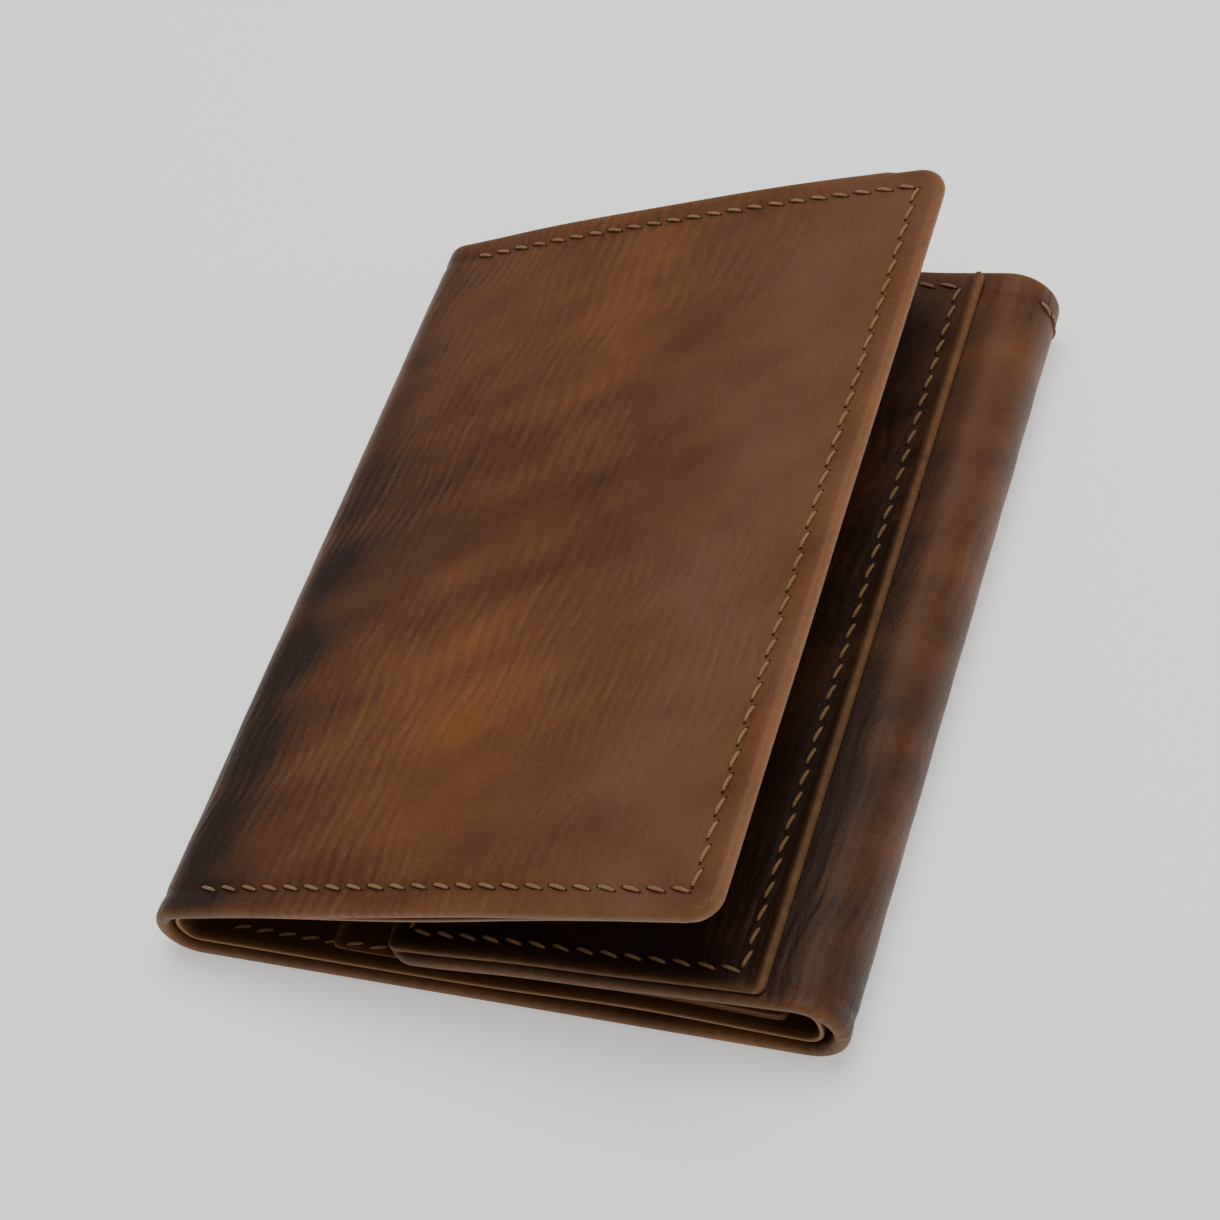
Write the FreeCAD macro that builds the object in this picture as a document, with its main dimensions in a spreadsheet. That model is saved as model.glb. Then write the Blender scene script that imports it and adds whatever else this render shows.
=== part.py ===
"""Trifold wallet: a leather shell folded round a back panel, with a front flap and a tuck flap.

The wallet lies on its back panel. +X runs from the front fold to the tuck fold, +Y from the open
mouth of the note compartment to its closed seam, and +Z up. The origin is the centre of the back
panel's outer face. The front flap stands ajar, as springy leather leaves it, and the tuck flap lies
inside, on the back panel.

Every panel has the same layers, from the outside in: shell, turned hem, lining, note compartment,
inner panel, card pockets. Each fold is a strip with a crease at each side, and both flaps are drawn
flat and then set at their angle.
"""
import FreeCAD, Part
import Sketcher
import os
import re

from FreeCAD import Placement, Rotation, Vector

# ---------------------------------------------------------------- driving dimensions (mm, degrees)
SIZES = [
    ("closed_width", 85.0, "front fold to tuck fold, over the shell"),
    ("wallet_height", 108.0, "mouth edge to closed seam"),
    ("front_fold_radius", 4.7, "outside of the front fold"),
    ("tuck_fold_radius", 5.6, "outside of the tuck fold"),
    ("front_flap_length", 73.0, "front fold to the free edge"),
    ("tuck_flap_reach", 55.0, "outside of the tuck fold to the free edge"),
    ("front_flap_angle", 16.0, "front flap ajar, from the back panel"),
    ("shell_thickness", 1.0, "outer leather"),
    ("hem_thickness", 0.9, "turned-in margin of the outer leather"),
    ("hem_width", 8.0, "width of the turned-in margin"),
    ("lining_thickness", 0.15, "woven lining of the note compartment"),
    ("layer_clearance", 0.1, "between the turned margin and the inner panel"),
    ("inner_thickness", 0.6, "inner leather panel and fold ribbons"),
    ("inner_setback", 0.8, "inner panel back from the shell's edges"),
    ("pocket_thickness", 0.4, "one card pocket"),
    ("pocket_step", 10.0, "from one pocket mouth to the next"),
    ("card_width", 54.0, "width of a card in its pocket"),
    ("card_clearance", 1.5, "spare width of a card pocket"),
    ("pocket_margin", 2.4, "pockets back from the shell's edges"),
    ("outer_pocket_thickness", 0.8, "pocket sewn on the outside of the tuck flap"),
    ("outer_pocket_setback", 2.7, "tuck fold to the outer pocket's turned edge"),
    ("window_border", 7.0, "leather round the card window"),
    ("window_sheet_thickness", 0.2, "clear sheet of the card window"),
    ("window_sheet_lap", 2.5, "clear sheet held under the leather border"),
    ("corner_radius", 4.0, "corners of the free edges"),
    ("seam_inset", 3.3, "seam back from an edge"),
    ("thread_width", 0.6, "sewing thread"),
    ("thread_rise", 0.25, "thread above the leather"),
    ("crease_gap", 0.25, "half the cut between two strips at a crease"),
    ("press_gap", 0.5, "cut between the front fold's end and the flap"),
    ("resting_gap", 0.5, "tuck flap's free edge above the back panel's pockets"),
]
POCKETS_ON_BACK = 3
POCKETS_ON_FRONT_FLAP = 2

document = FreeCAD.newDocument("TrifoldWallet")
sheet = document.addObject("Spreadsheet::Sheet", "Sizes")
for row, (alias, value, meaning) in enumerate(SIZES, start=1):
    sheet.set(f"A{row}", meaning)
    sheet.set(f"B{row}", str(value))
    sheet.setAlias(f"B{row}", alias)
document.recompute()


def size(text):
    """Write an expression: every alias in the text becomes a reference to its cell."""
    aliases = {alias for alias, _, _ in SIZES}

    def refer(word):
        return "Sizes." + word.group() if word.group() in aliases else word.group()

    return "(" + re.sub("[a-z_]+", refer, text) + ")"


# ---------------------------------------------------------------- places worked out from the sizes
BACK_LEFT = size("0 - closed_width / 2 + front_fold_radius")
BACK_RIGHT = size("closed_width / 2 - tuck_fold_radius")
HALF_HEIGHT = size("wallet_height / 2")
INNER_DEPTH = size("shell_thickness + hem_thickness + layer_clearance")
INNER_BACK = f"({INNER_DEPTH} + Sizes.inner_thickness)"
BACK_STACK = f"({INNER_BACK} + {POCKETS_ON_BACK} * Sizes.pocket_thickness)"
TUCK_STACK = f"({INNER_BACK} + Sizes.pocket_thickness)"
INNER_HALF = size("wallet_height / 2 - inner_setback")
POCKET_HALF = size("wallet_height / 2 - pocket_margin")
POCKET_WIDTH = size("card_width + card_clearance")
SEAM_Y = size("wallet_height / 2 - seam_inset")

# The tuck flap slopes down until its free edge lies just above the back panel's pockets.
TUCK_LENGTH = size("tuck_flap_reach - tuck_fold_radius")
TUCK_FALL = f"(2 * Sizes.tuck_fold_radius - {BACK_STACK} - {TUCK_STACK} - Sizes.resting_gap)"
TUCK_SLOPE = f"(asin({TUCK_FALL} / {TUCK_LENGTH}) / 1deg)"

# A fold turns the leather through half a circle, less or more by the flap's angle, and has its
# creases at a quarter and at three quarters of that turn.
FRONT_TURN = size("180 - front_flap_angle")
TUCK_TURN = f"(180 + {TUCK_SLOPE})"
FRONT_GAP_TURN = size("crease_gap / front_fold_radius * 180 / pi")
TUCK_GAP_TURN = size("crease_gap / tuck_fold_radius * 180 / pi")

FRONT_FLAP_PLACE = {
    "x": size("0 - closed_width / 2 + front_fold_radius * (1 - sin(front_flap_angle))"),
    "z": size("front_fold_radius * (1 + cos(front_flap_angle))"),
    "turn": size("front_flap_angle"),
}
TUCK_FLAP_PLACE = {
    "x": f"({BACK_RIGHT} - Sizes.tuck_fold_radius * sin({TUCK_SLOPE}))",
    "z": f"(Sizes.tuck_fold_radius * (1 + cos({TUCK_SLOPE})))",
    "turn": TUCK_SLOPE,
}
FLAT = None


# ---------------------------------------------------------------- ways of making a piece
def origin_plane(body, role):
    return [item for item in body.Origin.OriginFeatures if item.Role == role][0]


def set_place(piece, place):
    """Set a piece drawn flat at its flap's angle, about the line where the flap leaves its fold."""
    if place is FLAT:
        return
    piece.Placement = Placement(Vector(0, 0, 0), Rotation(Vector(0, -1, 0), 10))
    piece.setExpression("Placement.Base.x", place["x"])
    piece.setExpression("Placement.Base.z", place["z"])
    piece.setExpression("Placement.Rotation.Angle", place["turn"])


def draw_rectangle(sketch, name, left, right, low, high):
    """Draw a rectangle by two opposite corners, each measured from the sketch's origin."""
    first = sketch.GeometryCount
    points = [Vector(0, 0, 0), Vector(1, 0, 0), Vector(1, 1, 0), Vector(0, 1, 0)]
    for start in range(4):
        sketch.addGeometry(Part.LineSegment(points[start], points[(start + 1) % 4]), False)
    for start in range(4):
        following = first + (start + 1) % 4
        sketch.addConstraint(Sketcher.Constraint("Coincident", first + start, 2, following, 1))
    for line, kind in enumerate(("Horizontal", "Vertical", "Horizontal", "Vertical")):
        sketch.addConstraint(Sketcher.Constraint(kind, first + line))
    corners = [("left", "DistanceX", 0, left), ("low", "DistanceY", 0, low),
               ("right", "DistanceX", 2, right), ("high", "DistanceY", 2, high)]
    for side, kind, line, expression in corners:
        number = sketch.addConstraint(Sketcher.Constraint(kind, -1, 1, first + line, 1, 1.0))
        sketch.renameConstraint(number, f"{name}_{side}")
        sketch.setExpression(f"Constraints.{name}_{side}", expression)


def plan_sketch(body, name, level):
    """Start a sketch in plan, at a height above the piece's own zero."""
    sketch = body.newObject("Sketcher::SketchObject", name)
    sketch.AttachmentSupport = [(origin_plane(body, "XY_Plane"), "")]
    sketch.MapMode = "FlatFace"
    sketch.setExpression("AttachmentOffset.Base.z", level)
    return sketch


def add_plate(body, name, left, right, low, high, level, thickness):
    """Pad a rectangle upwards from its level."""
    sketch = plan_sketch(body, name + "_outline", level)
    draw_rectangle(sketch, "edge", left, right, low, high)
    pad = body.newObject("PartDesign::Pad", name)
    pad.Profile = sketch
    pad.setExpression("Length", thickness)
    document.recompute()
    return pad


def cut_plate(body, name, left, right, low, high, level, depth):
    """Cut a rectangle downwards from its level, and check that it did cut."""
    before = body.Shape.Volume
    sketch = plan_sketch(body, name + "_outline", level)
    draw_rectangle(sketch, "edge", left, right, low, high)
    pocket = body.newObject("PartDesign::Pocket", name)
    pocket.Profile = sketch
    pocket.setExpression("Length", depth)
    document.recompute()
    if body.Shape.Volume >= before - 1e-6:
        raise RuntimeError(f"{name} cuts nothing")
    return pocket


def round_free_corners(body, side):
    """Round the upright edges at one end of a plate: side is 1 for its +X end and -1 for its -X end."""
    tip = body.Tip
    ends = [side * vertex.X for vertex in tip.Shape.Vertexes]
    names = []
    for number, edge in enumerate(tip.Shape.Edges, start=1):
        first, last = edge.Vertexes[0].Point, edge.Vertexes[-1].Point
        upright = abs(first.x - last.x) < 1e-6 and abs(first.y - last.y) < 1e-6
        if upright and side * first.x > max(ends) - 1e-6:
            names.append(f"Edge{number}")
    fillet = body.newObject("PartDesign::Fillet", body.Name + "_corners")
    fillet.Base = (tip, names)
    fillet.setExpression("Radius", size("corner_radius"))
    document.recompute()
    return fillet


def make_plate(label, left, right, half, level, thickness, place=FLAT, free_end=0):
    """Make a whole flat piece, symmetric about the X axis, with its free end's corners rounded."""
    body = document.addObject("PartDesign::Body", label)
    add_plate(body, label + "_plate", left, right, f"0 - {half}", half, level, thickness)
    if free_end:
        round_free_corners(body, free_end)
    set_place(body, place)
    return body


def make_fold_band(label, centre_x, centre_z, outer, inner, start, turn, half, middle="0"):
    """Make part of a tube whose axis lies along Y.

    start is the angle of its first end round the axis, from +X towards +Z, and turn is how far it
    goes on. half is half its length along Y, about middle.
    """
    tubes = []
    for side, radius in (("outside", outer), ("inside", inner)):
        tube = document.addObject("Part::Cylinder", f"{label}_{side}")
        tube.setExpression("Radius", radius)
        tube.setExpression("Height", f"2 * {half}")
        tube.setExpression("Angle", turn)
        tubes.append(tube)
    band = document.addObject("Part::Cut", label)
    band.Base, band.Tool = tubes
    # The cylinders' own axis is Z and their angle runs from X: this puts the axis along -Y, so that
    # the angle runs towards +Z, and then turns the band to its start.
    for tube in tubes:
        tube.Placement = Placement(Vector(0, 0, 0), Rotation(Vector(1, 0, 0), 90))
        tube.setExpression("Placement.Base.y", half)
    band.Placement = Placement(Vector(0, 0, 0), Rotation(Vector(0, -1, 0), 10))
    band.setExpression("Placement.Base.x", centre_x)
    band.setExpression("Placement.Base.y", middle)
    band.setExpression("Placement.Base.z", centre_z)
    band.setExpression("Placement.Rotation.Angle", start)
    document.recompute()
    return band


def join(label, pieces, place=FLAT):
    """Join overlapping or touching stretches of one sub-part into one solid."""
    whole = document.addObject("Part::MultiFuse", label)
    whole.Shapes = pieces
    whole.Refine = True
    set_place(whole, place)
    return whole


def make_threads(label, runs, place=FLAT):
    """Lay sewing thread: each run is (left, right, low, high, level), and crossing runs are joined."""
    bars = []
    for number, (left, right, low, high, level) in enumerate(runs, start=1):
        bar = document.addObject("Part::Box", f"{label}_run{number}")
        bar.setExpression("Length", f"({right}) - ({left})")
        bar.setExpression("Width", f"({high}) - ({low})")
        bar.setExpression("Height", size("thread_rise"))
        bar.setExpression("Placement.Base.x", left)
        bar.setExpression("Placement.Base.y", low)
        bar.setExpression("Placement.Base.z", level)
        bars.append(bar)
    return join(label, bars, place)


def seam_round(left, right, level, ends):
    """Runs of thread along the mouth and closed edges, and across the ends that are sewn too."""
    half = size("thread_width / 2")
    runs = [(left, right, f"0 - {SEAM_Y} - {half}", f"0 - {SEAM_Y} + {half}", level),
            (left, right, f"{SEAM_Y} - {half}", f"{SEAM_Y} + {half}", level)]
    for end in ends:
        across = (left, f"{left} + 2 * {half}") if end == "left" else (f"{right} - 2 * {half}", right)
        runs.append((*across, f"0 - {SEAM_Y}", SEAM_Y, level))
    return runs


SHELL = size("shell_thickness")
HEM = size("hem_thickness")
INNER = size("inner_thickness")
POCKET = size("pocket_thickness")

# ---------------------------------------------------------------- back panel
back_plate = document.addObject("PartDesign::Body", "back_shell_plate")
add_plate(back_plate, "back_shell_sheet", BACK_LEFT, BACK_RIGHT, f"0 - {HALF_HEIGHT}", HALF_HEIGHT,
          "0", SHELL)
add_plate(back_plate, "back_shell_hem", BACK_LEFT, BACK_RIGHT, f"0 - {HALF_HEIGHT}",
          f"Sizes.hem_width - {HALF_HEIGHT}", SHELL, HEM)
THREAD_HALF = size("thread_width / 2")
BACK_SEAM_LEFT = f"({BACK_LEFT} + Sizes.seam_inset)"
BACK_SEAM_RIGHT = f"({BACK_RIGHT} - Sizes.seam_inset)"
for edge_name, middle in (("mouth", f"(0 - {SEAM_Y})"), ("closed", SEAM_Y)):
    cut_plate(back_plate, f"back_shell_{edge_name}_groove", BACK_SEAM_LEFT, BACK_SEAM_RIGHT,
              f"{middle} - {THREAD_HALF}", f"{middle} + {THREAD_HALF}",
              size("thread_rise"), size("thread_rise"))
back_front_end = make_fold_band(
    "back_shell_front_end", BACK_LEFT, "Sizes.front_fold_radius", "Sizes.front_fold_radius",
    size("front_fold_radius - shell_thickness"),
    f"270 - {FRONT_TURN} / 4 + {FRONT_GAP_TURN}", f"{FRONT_TURN} / 4 - {FRONT_GAP_TURN}", HALF_HEIGHT)
back_tuck_end = make_fold_band(
    "back_shell_tuck_end", BACK_RIGHT, "Sizes.tuck_fold_radius", "Sizes.tuck_fold_radius",
    size("tuck_fold_radius - shell_thickness"),
    "270", f"{TUCK_TURN} / 4 - {TUCK_GAP_TURN}", HALF_HEIGHT)
back_shell = join("back_shell", [back_plate, back_front_end, back_tuck_end])

back_lining = make_plate("back_lining", BACK_LEFT, BACK_RIGHT,
                         f"({HALF_HEIGHT} - Sizes.hem_width)", SHELL, "Sizes.lining_thickness")

back_inner_plate = make_plate("back_inner_plate", BACK_LEFT, BACK_RIGHT, INNER_HALF, INNER_DEPTH, INNER)
back_inner_front_end = make_fold_band(
    "back_inner_front_end", BACK_LEFT, "Sizes.front_fold_radius",
    f"Sizes.front_fold_radius - {INNER_DEPTH}", f"Sizes.front_fold_radius - {INNER_BACK}",
    f"270 - {FRONT_TURN} / 4 + {FRONT_GAP_TURN}", f"{FRONT_TURN} / 4 - {FRONT_GAP_TURN}", INNER_HALF)
back_inner_tuck_end = make_fold_band(
    "back_inner_tuck_end", BACK_RIGHT, "Sizes.tuck_fold_radius",
    f"Sizes.tuck_fold_radius - {INNER_DEPTH}", f"Sizes.tuck_fold_radius - {INNER_BACK}",
    "270", f"{TUCK_TURN} / 4 - {TUCK_GAP_TURN}", INNER_HALF)
back_inner_panel = join("back_inner_panel",
                        [back_inner_plate, back_inner_front_end, back_inner_tuck_end])

BACK_POCKET_RIGHT = f"({BACK_RIGHT} - Sizes.pocket_margin)"
back_pockets = []
for number in range(POCKETS_ON_BACK):
    mouth = f"({BACK_POCKET_RIGHT} - {POCKET_WIDTH} + {number} * Sizes.pocket_step)"
    back_pockets.append(make_plate(
        f"back_card_pocket_{number + 1}", mouth, BACK_POCKET_RIGHT, POCKET_HALF,
        f"({INNER_BACK} + {number} * Sizes.pocket_thickness)", POCKET))

back_stitching = make_threads("back_stitching",
                              seam_round(BACK_SEAM_LEFT, BACK_SEAM_RIGHT, "0", []))

back_pocket_stitching = make_threads("back_pocket_stitching", seam_round(
    f"({BACK_POCKET_RIGHT} - {POCKET_WIDTH} + {POCKETS_ON_BACK - 1} * Sizes.pocket_step + 1)",
    f"({BACK_POCKET_RIGHT} - 1)", BACK_STACK, ["right"]))

# ---------------------------------------------------------------- front fold: strip and end
front_fold_shell = make_fold_band(
    "front_fold_shell", BACK_LEFT, "Sizes.front_fold_radius", "Sizes.front_fold_radius",
    size("front_fold_radius - shell_thickness"),
    f"270 - {FRONT_TURN} * 3 / 4 + {FRONT_GAP_TURN}",
    f"{FRONT_TURN} / 2 - 2 * {FRONT_GAP_TURN}", HALF_HEIGHT)
front_fold_ribbon = make_fold_band(
    "front_fold_ribbon", BACK_LEFT, "Sizes.front_fold_radius",
    f"Sizes.front_fold_radius - {INNER_DEPTH}", f"Sizes.front_fold_radius - {INNER_BACK}",
    f"270 - {FRONT_TURN} * 3 / 4 + {FRONT_GAP_TURN}",
    f"{FRONT_TURN} / 2 - 2 * {FRONT_GAP_TURN}", INNER_HALF)
front_crease_shell = make_fold_band(
    "front_crease_shell", BACK_LEFT, "Sizes.front_fold_radius", "Sizes.front_fold_radius",
    size("front_fold_radius - shell_thickness"),
    f"270 - {FRONT_TURN}", f"{FRONT_TURN} / 4 - {FRONT_GAP_TURN}", HALF_HEIGHT)
front_crease_ribbon = make_fold_band(
    "front_crease_ribbon", BACK_LEFT, "Sizes.front_fold_radius",
    f"Sizes.front_fold_radius - {INNER_DEPTH}", f"Sizes.front_fold_radius - {INNER_BACK}",
    f"270 - {FRONT_TURN}", f"{FRONT_TURN} / 4 - {FRONT_GAP_TURN}", INNER_HALF)
front_fold_stitching = make_fold_band(
    "front_fold_stitching", BACK_LEFT, "Sizes.front_fold_radius",
    size("front_fold_radius + thread_rise"), "Sizes.front_fold_radius",
    f"270 - {FRONT_TURN} * 3 / 4 + 3 * {FRONT_GAP_TURN}",
    f"{FRONT_TURN} / 2 - 6 * {FRONT_GAP_TURN}", THREAD_HALF, SEAM_Y)

# ---------------------------------------------------------------- front flap, drawn flat
FLAP_START = "Sizes.press_gap"
FLAP_END = "Sizes.front_flap_length"
front_flap_plate = document.addObject("PartDesign::Body", "front_flap_shell_plate")
add_plate(front_flap_plate, "front_flap_shell_sheet", FLAP_START, FLAP_END, f"0 - {HALF_HEIGHT}",
          HALF_HEIGHT, f"0 - {SHELL}", SHELL)
round_free_corners(front_flap_plate, 1)
front_flap_hem = document.addObject("PartDesign::Body", "front_flap_hem")
add_plate(front_flap_hem, "front_flap_mouth_hem", FLAP_START, FLAP_END, f"0 - {HALF_HEIGHT}",
          f"Sizes.hem_width - {HALF_HEIGHT}", f"0 - {SHELL} - {HEM}", HEM)
add_plate(front_flap_hem, "front_flap_end_hem", f"{FLAP_END} - Sizes.hem_width", FLAP_END,
          f"0 - {HALF_HEIGHT}", HALF_HEIGHT, f"0 - {SHELL} - {HEM}", HEM)
round_free_corners(front_flap_hem, 1)
front_flap_shell = join("front_flap_shell", [front_flap_plate, front_flap_hem], FRONT_FLAP_PLACE)
front_flap_lining = make_plate(
    "front_flap_lining", FLAP_START, f"{FLAP_END} - Sizes.hem_width",
    f"({HALF_HEIGHT} - Sizes.hem_width)", f"0 - {SHELL} - Sizes.lining_thickness",
    "Sizes.lining_thickness", FRONT_FLAP_PLACE)
front_flap_inner_panel = make_plate(
    "front_flap_inner_panel", FLAP_START, f"{FLAP_END} - Sizes.inner_setback", INNER_HALF,
    f"0 - {INNER_BACK}", INNER, FRONT_FLAP_PLACE, 1)

FLAP_POCKET_END = f"({FLAP_END} - Sizes.pocket_margin)"
front_flap_pockets = []
for number in range(POCKETS_ON_FRONT_FLAP):
    mouth = f"({FLAP_POCKET_END} - {POCKET_WIDTH} + {number} * Sizes.pocket_step)"
    front_flap_pockets.append(make_plate(
        f"front_flap_card_pocket_{number + 1}", mouth, FLAP_POCKET_END, POCKET_HALF,
        f"0 - {INNER_BACK} - {number + 1} * Sizes.pocket_thickness", POCKET, FRONT_FLAP_PLACE))
front_flap_stitching = make_threads(
    "front_flap_stitching",
    seam_round("(Sizes.press_gap + 1)", f"({FLAP_END} - Sizes.seam_inset)", "0", ["right"]),
    FRONT_FLAP_PLACE)
front_pocket_stitching = make_threads(
    "front_pocket_stitching",
    seam_round(f"({FLAP_POCKET_END} - {POCKET_WIDTH} + Sizes.pocket_step + 1)",
               f"({FLAP_POCKET_END} - 1)",
               f"0 - {INNER_BACK} - {POCKETS_ON_FRONT_FLAP} * Sizes.pocket_thickness"
               " - Sizes.thread_rise", ["right"]),
    FRONT_FLAP_PLACE)

# ---------------------------------------------------------------- tuck fold strip
tuck_fold_shell = make_fold_band(
    "tuck_fold_shell", BACK_RIGHT, "Sizes.tuck_fold_radius", "Sizes.tuck_fold_radius",
    size("tuck_fold_radius - shell_thickness"),
    f"{TUCK_TURN} / 4 - 90 + {TUCK_GAP_TURN}", f"{TUCK_TURN} / 2 - 2 * {TUCK_GAP_TURN}", HALF_HEIGHT)
tuck_fold_ribbon = make_fold_band(
    "tuck_fold_ribbon", BACK_RIGHT, "Sizes.tuck_fold_radius",
    f"Sizes.tuck_fold_radius - {INNER_DEPTH}", f"Sizes.tuck_fold_radius - {INNER_BACK}",
    f"{TUCK_TURN} / 4 - 90 + {TUCK_GAP_TURN}", f"{TUCK_TURN} / 2 - 2 * {TUCK_GAP_TURN}", INNER_HALF)
tuck_fold_stitching = make_fold_band(
    "tuck_fold_stitching", BACK_RIGHT, "Sizes.tuck_fold_radius",
    size("tuck_fold_radius + thread_rise"), "Sizes.tuck_fold_radius",
    f"{TUCK_TURN} / 4 - 90 + 3 * {TUCK_GAP_TURN}",
    f"{TUCK_TURN} / 2 - 6 * {TUCK_GAP_TURN}", THREAD_HALF, SEAM_Y)

# ---------------------------------------------------------------- tuck flap, drawn flat towards -X
TUCK_END = f"(0 - {TUCK_LENGTH})"
tuck_flap_plate = document.addObject("PartDesign::Body", "tuck_flap_shell_plate")
add_plate(tuck_flap_plate, "tuck_flap_shell_sheet", TUCK_END, "0", f"0 - {HALF_HEIGHT}",
          HALF_HEIGHT, f"0 - {SHELL}", SHELL)
round_free_corners(tuck_flap_plate, -1)
tuck_flap_hem = document.addObject("PartDesign::Body", "tuck_flap_hem")
add_plate(tuck_flap_hem, "tuck_flap_mouth_hem", TUCK_END, "0", f"0 - {HALF_HEIGHT}",
          f"Sizes.hem_width - {HALF_HEIGHT}", f"0 - {SHELL} - {HEM}", HEM)
add_plate(tuck_flap_hem, "tuck_flap_end_hem", TUCK_END, f"{TUCK_END} + Sizes.hem_width",
          f"0 - {HALF_HEIGHT}", HALF_HEIGHT, f"0 - {SHELL} - {HEM}", HEM)
round_free_corners(tuck_flap_hem, -1)
tuck_flap_fold_end = make_fold_band(
    "tuck_flap_fold_end", "0", "0 - Sizes.tuck_fold_radius", "Sizes.tuck_fold_radius",
    size("tuck_fold_radius - shell_thickness"),
    f"90 - {TUCK_TURN} / 4 + {TUCK_GAP_TURN}", f"{TUCK_TURN} / 4 - {TUCK_GAP_TURN}", HALF_HEIGHT)
tuck_flap_shell = join("tuck_flap_shell", [tuck_flap_plate, tuck_flap_hem, tuck_flap_fold_end],
                       TUCK_FLAP_PLACE)
tuck_flap_lining = make_plate(
    "tuck_flap_lining", f"{TUCK_END} + Sizes.hem_width", "0", f"({HALF_HEIGHT} - Sizes.hem_width)",
    f"0 - {SHELL} - Sizes.lining_thickness", "Sizes.lining_thickness", TUCK_FLAP_PLACE)
tuck_inner_plate = make_plate(
    "tuck_flap_inner_plate", f"{TUCK_END} + Sizes.inner_setback", "0", INNER_HALF,
    f"0 - {INNER_BACK}", INNER, FLAT, -1)
tuck_inner_fold_end = make_fold_band(
    "tuck_inner_fold_end", "0", "0 - Sizes.tuck_fold_radius",
    f"Sizes.tuck_fold_radius - {INNER_DEPTH}", f"Sizes.tuck_fold_radius - {INNER_BACK}",
    f"90 - {TUCK_TURN} / 4 + {TUCK_GAP_TURN}", f"{TUCK_TURN} / 4 - {TUCK_GAP_TURN}", INNER_HALF)
tuck_flap_inner_panel = join("tuck_flap_inner_panel", [tuck_inner_plate, tuck_inner_fold_end],
                             TUCK_FLAP_PLACE)

# Card window on the inner face: a leather border with the clear sheet let into its back.
FRAME_LEFT = f"({TUCK_END} + Sizes.pocket_margin)"
FRAME_RIGHT = "(0 - Sizes.pocket_margin)"
WINDOW_LEFT = f"({FRAME_LEFT} + Sizes.window_border)"
WINDOW_RIGHT = f"({FRAME_RIGHT} - Sizes.window_border)"
WINDOW_HALF = f"({POCKET_HALF} - Sizes.window_border)"
LAP = "Sizes.window_sheet_lap"
id_window_frame = document.addObject("PartDesign::Body", "id_window_frame")
add_plate(id_window_frame, "id_window_frame_plate", FRAME_LEFT, FRAME_RIGHT, f"0 - {POCKET_HALF}",
          POCKET_HALF, f"0 - {TUCK_STACK}", POCKET)
cut_plate(id_window_frame, "id_window_opening", WINDOW_LEFT, WINDOW_RIGHT, f"0 - {WINDOW_HALF}",
          WINDOW_HALF, f"0 - {INNER_BACK}", POCKET)
cut_plate(id_window_frame, "id_window_rebate", f"{WINDOW_LEFT} - {LAP}", f"{WINDOW_RIGHT} + {LAP}",
          f"0 - {WINDOW_HALF} - {LAP}", f"{WINDOW_HALF} + {LAP}", f"0 - {INNER_BACK}",
          "Sizes.window_sheet_thickness")
set_place(id_window_frame, TUCK_FLAP_PLACE)
id_window_sheet = make_plate(
    "id_window_sheet", f"{WINDOW_LEFT} - {LAP}", f"{WINDOW_RIGHT} + {LAP}", f"({WINDOW_HALF} + {LAP})",
    f"0 - {INNER_BACK} - Sizes.window_sheet_thickness", "Sizes.window_sheet_thickness", TUCK_FLAP_PLACE)
WINDOW_SEAM = f"(Sizes.pocket_margin + Sizes.thread_width)"
window_stitching = make_threads(
    "window_stitching",
    seam_round(f"({TUCK_END} + 2 * {WINDOW_SEAM})", f"(0 - 2 * {WINDOW_SEAM})",
               f"0 - {TUCK_STACK} - Sizes.thread_rise", ["left", "right"]),
    TUCK_FLAP_PLACE)

# Pocket sewn on the outer face: its turned edge lies beside the tuck fold.
OUTER_RIGHT = "(0 - Sizes.outer_pocket_setback)"
outer_pocket = make_plate(
    "outer_pocket", f"{TUCK_END} + Sizes.inner_setback", OUTER_RIGHT, INNER_HALF, "0",
    "Sizes.outer_pocket_thickness", TUCK_FLAP_PLACE, -1)
outer_pocket_stitching = make_threads(
    "outer_pocket_stitching",
    seam_round(f"({TUCK_END} + Sizes.inner_setback + 1)", f"({OUTER_RIGHT} - Sizes.seam_inset)",
               "Sizes.outer_pocket_thickness", ["right"]),
    TUCK_FLAP_PLACE)

# ---------------------------------------------------------------- check and write every sub-part
SUBPARTS = [
    back_shell, back_lining, back_inner_panel, *back_pockets, back_stitching, back_pocket_stitching,
    front_fold_shell, front_fold_ribbon, front_fold_stitching,
    front_crease_shell, front_crease_ribbon,
    front_flap_shell, front_flap_lining, front_flap_inner_panel, *front_flap_pockets,
    front_flap_stitching, front_pocket_stitching,
    tuck_fold_shell, tuck_fold_ribbon, tuck_fold_stitching,
    tuck_flap_shell, tuck_flap_lining, tuck_flap_inner_panel,
    id_window_frame, id_window_sheet, window_stitching, outer_pocket, outer_pocket_stitching,
]
document.recompute()
for item in document.Objects:
    if "Invalid" in item.State or "Error" in item.State:
        raise RuntimeError(f"{item.Label} did not build: {item.State}")
for subpart in SUBPARTS:
    if subpart.Shape.isNull() or not subpart.Shape.isValid() or not subpart.Shape.Solids:
        raise RuntimeError(f"{subpart.Label} is not a sound solid")

os.makedirs("parts", exist_ok=True)
for subpart in SUBPARTS:
    subpart.Shape.exportStep(f"parts/{subpart.Label}.step")
    box = subpart.Shape.BoundBox
    print(f"{subpart.Label}: {len(subpart.Shape.Solids)} solid, {subpart.Shape.Volume:.1f} mm3, "
          f"x {box.XMin:.2f}..{box.XMax:.2f} y {box.YMin:.2f}..{box.YMax:.2f} "
          f"z {box.ZMin:.2f}..{box.ZMax:.2f}")
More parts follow.
